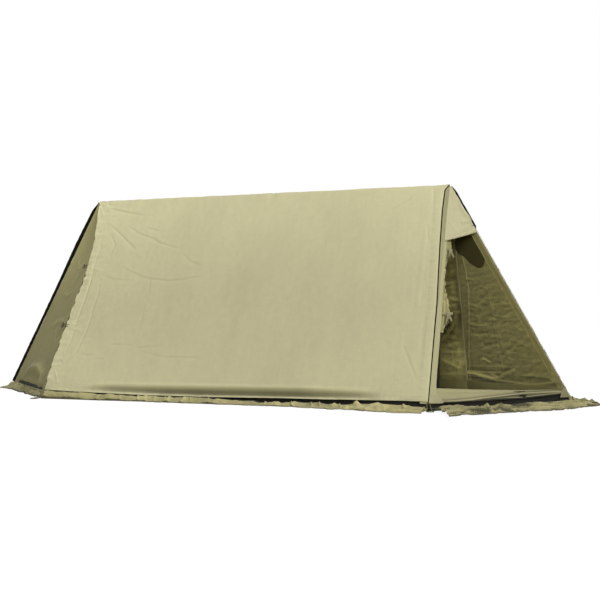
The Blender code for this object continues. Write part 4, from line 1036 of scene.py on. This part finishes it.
def curtain(material):
    """The doorway's curtain, gathered in pleats behind the side strip and creased by its ties."""
    drops = (0.0, 0.056, 0.110, 0.170, 0.240, 0.310, 0.370, 0.401, 0.440, CURTAIN_DROP)
    widths = (0.038, 0.034, 0.021, 0.017, 0.019, 0.030, 0.056, 0.064, 0.052, 0.018)
    drop = spread(0, CURTAIN_DROP, 170, (0.0, 0.001, 0.003), (0.0, 0.0015, 0.004, 0.008))[0]
    top = DOORWAY_HEIGHT + HOOD_RISE - 0.041
    v = top - drop
    smooth_drop = np.linspace(0, CURTAIN_DROP, 60)
    coarse = np.interp(smooth_drop, drops, widths)
    kernel = np.hanning(11) / np.hanning(11).sum()
    soft = np.convolve(np.pad(coarse, 5, mode="edge"), kernel, mode="valid")
    width = np.interp(drop, smooth_drop, soft)
    tucked, pleats, behind = 0.007, 2.5, 0.0028
    left = strip_edge(v) - tucked
    out = spread(0 * width, width + tucked, 190, (0.0, 0.001), (0.0, 0.0010, 0.0030, 0.0080))
    d = np.broadcast_to(drop[:, None], out.shape)
    across = np.clip((out - tucked) / width[:, None], 0, 1)
    wave = width[:, None] / pleats
    swing = np.minimum(0.0085, 9.0 * wave ** 2)
    drift = 0.9 * np.sin(d * 8.0) + 0.5 * noise(d / 0.12, across * 2, 501)
    pleat = -np.cos(2 * np.pi * pleats * across ** 0.9 + drift)
    pleat = np.sign(pleat) * np.abs(pleat) ** 0.8
    cross_folds = 0.0
    for height, side, rise, gauge in CURTAIN_FOLDS:
        line = height + 0.012 * np.sin(3 * across + 40 * height) + 0.010 * (across - side)
        reach = bell(across - side, 0.42)
        cross_folds += rise * reach * np.exp(-np.abs((d - line) / gauge) ** 1.5)
    crumple = 0.0026 * cloud(across * 7 + 3, d / 0.035, 503)
    crumple += 0.0022 * creased(across * 5, d / 0.05, 505)
    upper_tie, lower_tie = d - 0.048, d - 0.392
    tied = bell(upper_tie, 0.012) + bell(lower_tie, 0.014)
    drawn_in = fading(np.abs(lower_tie), 0.05) + fading(np.abs(upper_tie), 0.03)
    settled = 0.0168 + swing * pleat * (1 - 0.4 * tied) - (cross_folds + crumple) * (1 - 0.5 * tied)
    settled -= 0.0024 * noise(across * 24, 0, 507) * drawn_in
    settled = np.clip(settled, 0.0050, 0.0265)
    blend = ease((out - 0.005) / 0.020)
    depth = behind + (settled - behind) * blend
    free = width[:, None] + tucked - out
    edge = 0.0060 * noise(d / 0.020, 0, 509) + 0.0035 * noise(d / 0.009, 0, 511)
    u = left[:, None] + out + edge * fading(free, 0.012)
    base = RIGHT_NEAR.at(u, v[:, None], -depth)
    lift = sewn_hem(free, d, 513, 0.010, 0.0006)
    dirt = 0.25 * fading(free, 0.004) + 0.15 * noise(across * 4, d / 0.08, 515) ** 2
    # Painted shade in the deep valleys between the pleats and painted highlights on the pleats'
    # tops.
    valley_shade = 0.85 * ease((settled - 0.0165) / 0.008)
    pleat_highlights = 2.2 * ease((0.0150 - settled) / 0.006)
    return cloth("right_door_curtain_canvas", base, lift, (out, v[:, None]), material, dirt,
                 painted_shade=valley_shade, pale=pleat_highlights)


def ribbon(name, centres, sides, normals, width, material, waves):
    """A flat tape along a line: its middle, its sideways direction and its outer normal."""
    centres, sides, normals = (np.asarray(a, float) for a in (centres, sides, normals))
    t = spread(-width / 2, width / 2, 8, (0.0, 0.0006), (0.0, 0.0006))[0]
    base = centres[:, None] + sides[:, None] * t[None, :, None]
    step = distances(centres)
    lift = waves * cloud(step[:, None] / 0.012, t[None, :] / 0.012, len(centres))
    lift -= 0.0002 * bell(np.abs(t)[None, :] - width * 0.38, 0.0008)
    if np.dot(np.cross(base[1, -1] - base[1, 0], base[2, 3] - base[1, 3]), normals[1]) < 0:
        base, lift, t = base[:, ::-1], lift[:, ::-1], t[::-1]
    uv = (np.broadcast_to(t[None, :], lift.shape), np.broadcast_to(step[:, None], lift.shape))
    return cloth(name, base, lift, uv, material, 0.1, thickness=0.0009)


def tie(label, v, side_u, back_depth, material):
    """A tape round the gathered curtain, with a knot and two creased tails in front."""
    face = RIGHT_NEAR
    start = strip_edge(v) + 0.0015
    across, front = side_u - start, 0.0008
    round_trip = [(start, front), (start + 0.3 * across, front + 0.0006),
                  (start + 0.8 * across, front + 0.0002), (side_u, front + 0.002),
                  (side_u + 0.003, (front + back_depth) / 2), (side_u, back_depth - 0.001),
                  (side_u - 0.3 * across, back_depth + 0.0004), (start + 0.016, back_depth)]
    line = smooth_line([face.at(u, v, -depth) for u, depth in round_trip], 90)
    tangent = unit(np.gradient(line, axis=0))
    up = np.broadcast_to(face.v, line.shape)
    outward = unit(np.cross(up, tangent))
    if outward[3] @ face.normal < 0:
        outward = -outward
    band_piece = ribbon(f"tie_{label}_band", line, up, outward, 0.012, material, waves=0.0004)
    tails = []
    knot_u = (start + side_u) / 2
    for k, (lean, drop) in enumerate(((-0.011, 0.052), (0.012, 0.043))):
        places = [(knot_u, v + 0.002, 0.0022), (knot_u + 0.25 * lean, v - 0.006, 0.0042),
                  (knot_u + 0.6 * lean, v - 0.45 * drop, 0.0026),
                  (knot_u + 0.8 * lean, v - 0.75 * drop, 0.0034),
                  (knot_u + 1.1 * lean, v - drop, 0.0022)]
        tail = smooth_line([face.at(a, b, c) for a, b, c in places], 40)
        tangent = unit(np.gradient(tail, axis=0))
        outward = np.broadcast_to(face.normal, tail.shape)
        side = unit(np.cross(tangent, outward))
        turn = np.linspace(0, 1.1 - 2.0 * k, len(tail))[:, None]
        twisted = side * np.cos(turn) + outward * np.sin(turn)
        tails.append(ribbon(f"tie_{label}_tail_{k}", tail, twisted, np.cross(twisted, tangent),
                            0.010, material, waves=0.0005))
    s, t = np.meshgrid(np.linspace(0, 1, 25), np.linspace(0, 1, 15))
    theta, phi = 2 * np.pi * s, np.pi * t
    radius = 1 + 0.10 * np.sin(3 * theta + 2 * phi)
    local = np.stack([0.0075 * np.sin(phi) * np.cos(theta) * radius,
                      0.0062 * np.cos(phi), 0.0034 * np.sin(phi) * np.sin(theta) * radius], -1)
    centre = face.at(knot_u, v, 0.0022)
    points = (centre + local[..., :1] * face.u + local[..., 1:2] * face.v
              + local[..., 2:] * face.normal)
    knot = closed_round(f"tie_{label}_knot", points, material)
    return band_piece, tails, knot


def patch(name, corners, face, out, material, seed, steps=(46, 30), under=None,
          edging=(0.8, 0.003)):
    """A four-cornered piece sewn flat on a face, its corners given as u and v."""
    s, t = np.meshgrid(spread(0, 1, steps[0], (0, 0.012, 0.08), (0, 0.012, 0.08))[0],
                       spread(0, 1, steps[1], (0, 0.02, 0.12), (0, 0.02, 0.12))[0])
    a, b, c, d = (np.array(p, float) for p in corners)
    spots = ((1 - s)[..., None] * (1 - t)[..., None] * a + s[..., None] * (1 - t)[..., None] * b
             + s[..., None] * t[..., None] * c + (1 - s)[..., None] * t[..., None] * d)
    u, v = spots[..., 0], spots[..., 1]
    edge = np.minimum(np.minimum(s, 1 - s) * np.linalg.norm(b - a),
                      np.minimum(t, 1 - t) * np.linalg.norm(d - a))
    lift = out + 0.0004 * cloud(u / 0.03, v / 0.03, seed) - 0.0004 * bell(edge, 0.0015)
    lift -= 0.0003 * bell(edge - 0.006, 0.0012)
    lift += seam_pucker(edge, u + v, 0.006, seed + 1, 0.0004)
    if under is not None:
        lift += under(u, v)
    dirt = dirt_near_hem(v, u, seed + 2, 0.05) + 0.2 * fading(edge, 0.003)
    return cloth(name, face.at(u, v), lift, (u, v), material, dirt, 0.0008,
                 pale=edging[0] * bell(edge, edging[1]))


def round_patch(name, outline, face, out, material, seed, under):
    """A flat piece with a rounded outline, given as u and v, from its middle outwards."""
    closed = np.array(outline + outline[:1], float)
    closed = np.concatenate([closed, np.zeros((len(closed), 1))], axis=1)
    edge = smooth_line(closed, 65)[:, :2]
    centre = edge[:-1].mean(axis=0)
    share = spread(0.02, 1, 24, (0.0,), (0.0, 0.012, 0.05, 0.07))[0]
    spots = centre + (edge[None] - centre) * share[:, None, None]
    u, v = spots[..., 0], spots[..., 1]
    lift = out + 0.0006 * cloud(u / 0.06, v / 0.06, seed) * (1 - share[:, None] ** 4)
    lift += under(u, v)
    points = face.at(u, v, lift)
    return cloth(name, points[:, ::-1], 0.0, (u[:, ::-1], v[:, ::-1]), material, 0.1, 0.0008)


def mitre_point(index, distance):
    """The ground offset of a hem corner at a distance out from both faces that meet there."""
    face, before = RING[index % 6], RING[index % 6 - 1]
    both = (face.outward + before.outward) / (1 + face.outward @ before.outward)
    return face.start + both * distance


def flap_top(face, s):
    """The height at which a flap comes out from under the hem, along the hem."""
    if face in (NEAR_ROOF, FAR_ROOF):
        u = s * RIDGE_LENGTH if face is NEAR_ROOF else RIDGE_LENGTH * (1 - s)
        return np.interp(u, (0, 0.10, 0.25, 0.45, 0.64, 0.92, 1.09, 1.27, 1.5, 1.68, 1.87, 1.95,
                             2.0, 2.10),
                         (0.043, 0.039, 0.035, 0.031, 0.030, 0.028, 0.022, 0.0175, 0.020, 0.021,
                          0.026, 0.024, 0.020, 0.016))
    if face in (RIGHT_NEAR, RIGHT_FAR):
        return np.interp(s if face is RIGHT_NEAR else 1 - s, (0, 0.10, 0.3, 0.6, 0.95, 1.0),
                         (0.014, 0.018, 0.015, 0.017, 0.024, 0.020))
    return 0.034 + 0 * s


def mirrored(reach):
    """The same reaches read from the other end of a hem."""
    return [1 - share for share in reach[0][::-1]], reach[1][::-1]


def mud_flap(index, label, reach_at, material, lining, seed, start, end):
    """A crumpled flap from behind the hem down to the ground and out over it. start and end say
    whether it is cut square there, and how far its outer part is set back from the corner."""
    face = RING[index]
    by_right_beak = face in (RIGHT_NEAR, RIGHT_FAR)
    slope = -(face.normal[2] / np.linalg.norm(face.normal[:2]))
    length = face.length
    s = np.linspace(0, 1, int(length / 0.005) + 1)
    along = s * length
    top = flap_top(face, s) + 0.0035 * cloud(along / 0.05, 0.0, seed + 15)
    back = 0.0085 + (0.038 * hem_turn(along) if face is NEAR_ROOF else 0.0)
    stand = np.linspace(0, 1, 9)[:, None]
    inner_top = 0.075
    low = inner_top + (top + 0.004 - inner_top) * stand
    behind = slope * (low - HEM_LIFT) - back
    reach = np.interp(s, *reach_at)
    reach += 0.006 * cloud(along / 0.09, 0.0, seed + 1) * np.sin(np.pi * s) ** 0.3
    begin = behind[-1] + 0.003
    crest = np.maximum(-0.014, begin + 0.003)
    fall = np.minimum(0.055, reach - crest)
    share = spread(0, 1, 74, (0.0,), (0.0, 0.012, 0.04))[0][:, None] ** 1.15
    lying_out = begin + (reach - begin) * share
    lying_height = 0.0025 + (top - 0.0025) * (1 - ease((lying_out - crest) / fall))
    out = np.concatenate([behind, lying_out])
    height = np.concatenate([low, lying_height])
    ends = []
    for corner_index, (square, aside), way in ((index, start, 1), (index + 1, end, -1)):
        mitre = mitre_point(corner_index, 1.0) - mitre_point(corner_index, 0.0)
        turned = mitre * (1 - square) + face.outward * square
        spot = mitre_point(corner_index, 0.0) + turned * out[..., None]
        ends.append(spot + face.u * (way * aside * ease(out / 0.05))[..., None])
    base = ends[0] + (ends[1] - ends[0]) * s[None, :, None]
    along = along[None, :] + 0 * out
    lying = ease((out - crest) / 0.02)
    crumple = np.maximum(0, 0.5 + cloud(along / 0.045, out / 0.045, seed))
    ridge = crests(along / 0.10 + out * 3, out / 0.07, seed + 5)
    ridge += 0.9 * crests(along / 0.05 - out * 9, out / 0.13, seed + 7, 3)
    loose = np.interp(out, (0.01, 0.07), (0.35, 1.0)) if by_right_beak else 0.8
    calm = ease((1 - s) * length / 0.20) if face is LEFT_FAR else 1.0
    rise = lying * loose * calm * (0.0040 * crumple + 0.0165 * ridge)
    to_edge = reach - out
    rise = rise * (0.25 + 0.75 * np.clip(to_edge / 0.03, 0, 1))
    base[..., 2] = height + rise
    wander = 0.001 + 0.004 * lying * np.clip(to_edge / 0.02, 0, 1)
    wander *= cloud(along / 0.03, height / 0.02, seed + 9)
    base[..., :2] += wander[..., None] * face.outward[:2]
    lift = 0.0005 * cloud(along / 0.012, out / 0.012, seed + 11)
    # Painted shade: near black behind and under the hem, darker along the flap's outer and low
    # edges and in the hollows between its crumples.
    hidden_shade = 1 - ease((out - crest + 0.006) / 0.008)
    shade = np.clip(0.15 + 0.5 * noise(along / 0.12, out / 0.05, seed + 13), 0, 1)
    edge_shade = 0.85 * ease((0.011 - to_edge) / 0.006)
    low_edge_shade = 0.6 * ease((0.0095 - height - rise) / 0.005) * ease((0.07 - reach) / 0.03)
    pit_shade = (0.8 if by_right_beak else 0.20) * lying * ease((0.86 - ridge - 0.3 * crumple) / 0.42)
    from_near = s if face is RIGHT_NEAR else 1 - s
    shadow = np.interp(from_near, (0.55, 0.8), (0.012, 0.004)) if by_right_beak else -0.001
    under_hem_shadow = 1 - ease((out - crest - shadow) / 0.008)
    painted_shade = np.maximum(np.maximum(hidden_shade, edge_shade), np.maximum(low_edge_shade, pit_shade))
    painted_shade = np.clip(np.maximum(painted_shade, under_hem_shadow), 0, 1)
    # Painted light: the near flap is made lighter than the others.
    return cloth(f"mud_flap_{label}_canvas", base[::-1], lift[::-1], (along[::-1], out[::-1]),
                 material, shade[::-1], lining=lining,
                 painted_shade=painted_shade[::-1], pale=1.5 if face is NEAR_ROOF else 0.0)


def binding(name, end, width_at, material, seed):
    """A bound edge, dark with painted shade, that stands out along a beak's front edge, from its
    tip to its peak.
    """
    share = spread(0.004, TOP_SHARE, 260)[0]
    line = front_edge(end, share[:, None])
    faces = (LEFT_FAR, LEFT_NEAR) if end == LEFT else (RIGHT_NEAR, RIGHT_FAR)
    outwards = unit(faces[0].normal + faces[1].normal)
    width = width_at(share) + 0.0008 * noise(share * 60, 0, seed)
    t = spread(0, 1, 8, (0.0, 0.06), (0.0, 0.06))[0]
    d = 0.0012 + width[:, None] * t[None, :]
    base = line[:, None] + outwards * d[..., None]
    length = share * float(np.linalg.norm(peak(end) - tip(end)))
    lift = 0.0005 * noise(length[:, None] / 0.02, t[None, :] * 2, seed + 1) + 0.0006
    places = (d, np.broadcast_to(length[:, None], d.shape))
    return cloth(name, base, lift, places, material, 0.2, 0.0012)


def left_binding(share):
    """How far the left binding stands out, which tapers at the peak."""
    return 0.019 + 0.006 * bell(share - 0.75, 0.16) - 0.014 * ease((share - 0.93) / 0.06)


def right_binding(share):
    """How far the right binding stands out: by the hood only, and less under its loop."""
    hood_loop = np.exp(-((share * SLOPE - 0.946) / 0.016) ** 4)
    lower_end = ease((share - 0.775) / 0.02)
    return 0.0012 + 0.0085 * lower_end * (1 - hood_loop) * (1 - 0.7 * ease((share - 0.96) / 0.03))


def groundsheet(material):
    """A slightly wrinkled sheet on the ground inside the walls, which ends under the far flaps."""
    overhang, inset = 0.008, 0.001
    outline = [mitre_point(i, overhang)[:2] for i in range(6)]
    x = np.linspace(outline[5][0] + inset, outline[2][0] - inset, 260)
    near = np.array((outline[5], outline[0], outline[1], outline[2]))
    half = -np.interp(x, near[:, 0], near[:, 1])
    t = np.linspace(-1, 1, 120)
    y = t[:, None] * np.maximum(half, 0.002)[None, :]
    further = np.interp(x, (-1.66, -1.05, -0.45, 0.45, 1.05, 1.66),
                        (0.024, 0.008, 0.014, 0.026, 0.040, 0.040))
    y += np.maximum(t, 0)[:, None] * further
    x = np.broadcast_to(x, y.shape)
    height = 0.0012 + 0.0010 * crests(x / 0.35 + y, y / 0.25, 601)
    height += 0.0003 * cloud(x / 0.06, y / 0.06, 603)
    base = np.stack([x, y, np.clip(height, 0.0008, 0.0022)], -1)
    return cloth("groundsheet_cloth", base, 0.0, (x, y), material,
                 0.3 + 0.3 * noise(x / 0.2, y / 0.2, 605), 0.0006)


# Cords

def rope(name, line, diameter, material):
    """A laid rope: twisted strands with a groove between them, along a line of points."""
    strands, pitch, sides = 3, 3.2, 24
    tangent = unit(np.gradient(line, axis=0))
    frames = [unit(np.cross(tangent[0], (0.31, 0.17, 0.94)))]
    for along in tangent[1:]:
        frames.append(unit(frames[-1] - along * (frames[-1] @ along)))
    x = np.array(frames)
    y = np.cross(tangent, x)
    step = distances(line)
    angle = 2 * np.pi * np.arange(sides) / sides
    phase = angle - 2 * np.pi * step[:, None] / (pitch * diameter)
    groove = np.abs(np.cos(phase * strands / 2)) ** 0.7
    taper = np.minimum(1, np.minimum(step, step[-1] - step) / (0.3 * diameter) + 0.35)
    radius = diameter / 2 * (0.80 + 0.20 * groove) * taper[:, None]
    ring = (line[:, None] + (radius * np.cos(angle))[..., None] * x[:, None]
            + (radius * np.sin(angle))[..., None] * y[:, None])
    index = np.arange(len(line) * sides).reshape(-1, sides)
    nxt = np.roll(index, -1, axis=1)
    quads = np.stack([index[:-1], nxt[:-1], nxt[1:], index[1:]], -1).reshape(-1, 4).tolist()
    caps = [index[0, ::-1].tolist(), index[-1].tolist()]
    uv = np.stack(np.broadcast_arrays(angle * diameter / 2, step[:, None]), -1)
    piece = add_mesh(name, ring, quads + caps, material, uv)
    make_outward(piece)
    return piece


def add_cord(name, node, body, line, diameter, material):
    """A cord that goes back into the object, along a line of points."""
    piece = rope(name, line, diameter, material)
    place(piece, body, "cord", node)


def peg_route(hem_corner, outwards):
    """The route of a peg loop, as in the CAD source."""
    sideways = np.cross((0, 0, 1), outwards)
    radius, reach, half, bend = PEG_CORD / 2, 0.075, 0.017, 0.030
    lying = 0.002 + 0.0003 + radius
    ground = np.array((hem_corner[0], hem_corner[1], 0.0))
    sides = [(lying, 0.45 * half, HEM_LIFT + 2 * radius),
             (lying + 0.25 * bend, 0.5 * half, 0.62 * HEM_LIFT),
             (0.85 * bend, 0.7 * half, lying + 0.12 * HEM_LIFT),
             (0.55 * reach + 0.3 * bend, 0.95 * half, lying)]
    middle = [(0.9 * reach, 0.75 * half, lying), (reach, 0, lying),
              (0.9 * reach, -0.75 * half, lying)]
    back = [(out, -aside, height) for out, aside, height in sides[::-1]]
    return [ground + outwards * out + sideways * aside + np.array((0, 0, height))
            for out, aside, height in sides + middle + back]


def away(normal, axis, neighbour):
    """The direction on a face, square to one of its edges, that leads away from its neighbour."""
    into = unit(np.cross(normal, axis))
    return -into if into @ neighbour >= 0 else into


def loop_route(edge_point, edge_axis, flap_normal, base, fixed_normal):
    """The route of a cord loop that leaves one face's edge and hooks round a toggle on the next."""
    cord_radius, gap, root, toggle_radius, clearance = LOOP_CORD / 2, 0.0003, 0.022, 0.004, 0.001
    rise = cord_radius + 2 * gap
    half = toggle_radius + cord_radius + clearance
    flap_in = away(flap_normal, edge_axis, fixed_normal)
    fixed_in = unit(base - edge_point)
    over = unit(fixed_normal + flap_normal)
    crest = edge_point + over * rise / (over @ fixed_normal)
    legs = []
    for side in (1, -1):
        shift = edge_axis * side * half
        legs.append([edge_point + flap_in * root + flap_normal * rise + shift,
                     edge_point + flap_in * 0.4 * root + flap_normal * rise + shift,
                     crest + over * 0.3 * rise + shift,
                     (edge_point + base) / 2 + fixed_normal * rise + shift])
    centre = base + fixed_normal * rise
    bend = [centre + edge_axis * half * math.cos(turn) + fixed_in * half * math.sin(turn)
            for turn in (0, math.pi / 4, math.pi / 2, 3 * math.pi / 4, math.pi)]
    return legs[0] + bend + legs[1][::-1]


def toggle_loop(label, body, material, *route_facts):
    line = smooth_line(loop_route(*route_facts), 120)
    add_cord(f"{label}_loop_cord", f"{label}_loop", body, line, LOOP_CORD, material)


def toggle_loops(material):
    for label, height in DOOR_TOGGLE_HEIGHTS.items():
        share = height / SLOPE

        def edge(at):
            return NEAR_ROOF.at(edge_bow(at), at * SLOPE)

        def seat(at):
            return edge(at) + unit(front_edge(LEFT, at) - edge(at)) * 0.040

        step = 0.01
        normal = unit(np.cross(edge(share) - seat(share), seat(share + step) - seat(share - step)))
        axis = unit(edge(share + step) - edge(share - step))
        toggle_loop(f"left_door_{label}", "root", material, edge(share), axis, NEAR_ROOF.normal,
                    seat(share), normal)
    height = DOORWAY_HEIGHT + HOOD_RISE + 0.045
    edge_point = RIGHT_NEAR.at(RIGHT_NEAR.right(height), height)
    edge_axis = unit(peak(RIGHT) - tip(RIGHT))
    into = away(RIGHT_FAR.normal, edge_axis, RIGHT_NEAR.normal)
    toggle_loop("right_hood", "right_hood", material, edge_point, edge_axis, RIGHT_NEAR.normal,
                edge_point + into * 0.018, RIGHT_FAR.normal)


def peg_loops(material):
    names = ["left_near", "right_near", "right_tip", "right_far", "left_far", "left_tip"]
    for i, label in enumerate(names):
        outwards = unit(RING[i].outward + RING[i - 1].outward)
        line = smooth_line(peg_route(RING[i].start, outwards), 150)
        add_cord(f"peg_loop_{label}_rope", f"peg_loop_{label}", "root", line, PEG_CORD, material)


def finish_nodes():
    """Gives the frame's poles, brackets, feet and toggles their materials."""
    pole = solid_material("pole_aluminium", (0.62, 0.63, 0.62), 0.42, 1.0, (14, 14, 700), 0.10,
                          0.0001, (0.45, 0.46, 0.45))
    bracket = solid_material("bracket_aluminium", (0.42, 0.42, 0.41), 0.55, 1.0, (160, 160, 160),
                             0.18, 0.0003, (0.30, 0.30, 0.29))
    foot = solid_material("foot_rubber", (0.030, 0.030, 0.030), 0.75, 0.0, (220, 220, 220), 0.25,
                          0.0003, (0.055, 0.052, 0.045))
    wood = solid_material("toggle_wood", (0.10, 0.055, 0.020), 0.45, 0.0, (900, 900, 90), 0.35,
                          0.0002, (0.045, 0.024, 0.010))
    kinds = (("_toggle", wood), ("leg_foot", foot), ("leg_", pole), ("ridge_", pole),
             ("apex_bracket", bracket))
    for name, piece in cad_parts.items():
        finish = next((finish for part, finish in kinds if part in name), None)
        if finish:
            piece.material_slots[0].material = finish


# The scene

add_camera()
add_light()
add_floor()

ROOF = canvas("roof_canvas", (0.556, 0.526, 0.326))
# Yellower copies of the canvas for the inner sides: their own duller tone and painted shade, the
# roof's inner side darker still.
SHADED_LINING = canvas("inner_canvas_shaded", (0.53, 0.480, 0.195), mottle=0.16, slubs=0.16)
SHADED_ROOF_LINING = canvas("inner_roof_canvas_shaded", (0.42, 0.380, 0.150), mottle=0.16, slubs=0.16)
# A darker, less blue copy of the canvas for the left door: painted shade of a face turned from the
# light.
SHADED_DOOR = canvas("door_canvas", (0.440, 0.405, 0.195), mottle=0.12)
# A darker copy of the canvas for the side strips and the near corner patch: painted shade.
SHADED_STRIP = canvas("strip_canvas", (0.445, 0.420, 0.240))
# A darker copy of the canvas for the sill: painted shade.
SHADED_SILL = canvas("sill_canvas", (0.405, 0.379, 0.209))
# A dark copy of the canvas for the front corner patch: painted shade.
SHADED_PATCH = canvas("patch_canvas", (0.25, 0.23, 0.12))
# A dark copy of the canvas for the curtain, which hangs in shade: painted shade.
SHADED_CURTAIN = canvas("curtain_canvas", (0.36, 0.33, 0.16), mottle=0.14)
FLAP = canvas("mud_flap_canvas", (0.410, 0.372, 0.185), mottle=0.22, slubs=0.14)
TAPE = canvas("tape_cotton", (0.32, 0.30, 0.17), mottle=0.12, slubs=0.12, weave=0.6)
# Dark cloth for the patch that stands for the hood's shadow: painted shadow.
HOOD_SHADOW = canvas("hood_shadow_canvas", (0.115, 0.100, 0.028), mottle=0.15)
# Near-black cloth for the fins along the front edges: painted shade.
SHADED_BINDING = canvas("binding_painted_shade", (0.012, 0.011, 0.006), mottle=0.3, slubs=0.3, sheen=0.01)
SHEET = canvas("groundsheet_cloth", (0.085, 0.090, 0.045), mottle=0.25, rough=0.7)
CORD = cord_material("cord_hemp", (0.20, 0.175, 0.09))

place(roof(ROOF, SHADED_ROOF_LINING), "root", "canvas", "roof_panel_near", "roof_panel_far")
place(left_door(SHADED_DOOR, SHADED_DOOR), "left_door", "canvas", "left_door")
place(hood(ROOF), "right_hood", "canvas", "right_hood")
strip, wrap = side_strips(SHADED_STRIP)
place(strip, "root", "canvas", "right_side_strip")
place(wrap, "root", "canvas")
place(sill(SHADED_SILL), "root", "canvas", "right_door_sill")
place(beak_sheet("right_beak_far_canvas", RIGHT_FAR, ROOF, SHADED_LINING, 81, right_far_lift), "root",
      "canvas", "right_beak_far")
place(beak_sheet("left_beak_far_canvas", LEFT_FAR, ROOF, SHADED_LINING, 121, left_far_lift), "root",
      "canvas", "left_beak_far")

place(curtain(SHADED_CURTAIN), "root", "canvas", "right_door_curtain")
for label, gathered in (("upper", 0.033), ("lower", 0.061)):
    v = DOORWAY_HEIGHT - TIE_DROPS[label]
    band_piece, tails, knot = tie(label, v, strip_edge(v) + gathered + 0.006, 0.0300, TAPE)
    place(band_piece, "root", "tape", f"right_door_tie_{label}")
    for piece in (*tails, knot):
        place(piece, "root", "tape")
place(patch("right_patch_near_cloth", [(0.003, 0.003), (0.086, 0.003), (0.050, 0.050),
                                       (0.019, 0.050)], RIGHT_NEAR, 0.0022, SHADED_STRIP, 521),
      "root", "tape", "right_corner_patch_near")
place(patch("right_patch_front_cloth", [(0.762, 0.003), (0.828, 0.003), (0.811, 0.050),
                                        (0.790, 0.050)], RIGHT_NEAR, 0.0022, SHADED_PATCH, 531),
      "root", "tape", "right_corner_patch_front")

place(patch("right_edge_tape_cloth", [(RIGHT_FAR.left(v) + 0.006 + x, v) for v, x in
                                      ((0.050, 0.0), (0.050, 0.045), (0.925, 0.045), (0.925, 0.0))],
            RIGHT_FAR, -0.0012, SHADED_LINING, 541, (24, 150), inside_right_far, (3.2, 0.006)),
      "root", "tape", "right_front_edge_tape")
# A dark round patch inside the right beak's far face, under the hood: painted shadow of the hood.
place(round_patch("hood_shadow_patch", [(0.568, 0.840), (0.540, 0.797), (0.501, 0.780), (0.468, 0.741),
                                 (0.434, 0.722), (0.398, 0.709), (0.358, 0.724), (0.333, 0.761),
                                 (0.322, 0.820), (0.333, 0.870), (0.345, 0.910), (0.400, 0.955),
                                 (0.480, 0.930)], RIGHT_FAR, -0.0016, HOOD_SHADOW, 551,
                  inside_right_far), "root", "canvas")

# How far the mud flaps reach out, as shares of their hem's length and the reach at each
NEAR_REACH = ((0, 0.3, 0.69, 0.81, 0.95, 1), (0.016, 0.024, 0.036, 0.10, 0.145, 0.16))
RIGHT_REACH = ((0, 0.35, 0.55, 0.75, 1), (0.26, 0.235, 0.235, 0.18, 0.105))
LEFT_REACH = ((0, 0.12, 0.5, 0.85, 1), (0.085, 0.055, 0.032, 0.026, 0.018))

# Each flap's name and reach, and for both its ends whether it is square and its set-back
FLAPS = [("near", NEAR_REACH, (0, 0), (1, 0.0)), ("right_near", RIGHT_REACH, (0, 0.05), (0, 0)),
         ("right_far", mirrored(RIGHT_REACH), (0, 0), (0, 0.05)),
         ("far", mirrored(NEAR_REACH), (1, 0.0), (0, 0)),
         ("left_far", mirrored(LEFT_REACH), (0, 0), (0, 0)),
         ("left_near", LEFT_REACH, (0, 0), (0, 0))]
for i, (label, reach_at, start, end) in enumerate(FLAPS):
    place(mud_flap(i, label, reach_at, FLAP, SHADED_LINING, 701 + 20 * i, start, end), "root", "canvas",
          f"mud_flap_{label}")
place(groundsheet(SHEET), "root", "groundsheet", "groundsheet")

bound = binding("left_front_binding", LEFT, left_binding, SHADED_BINDING, 801)
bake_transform(bound)
place(binding("right_front_binding", RIGHT, right_binding, SHADED_BINDING, 811), "root", "tape")
peg_loops(CORD)
toggle_loops(CORD)
finish_nodes()
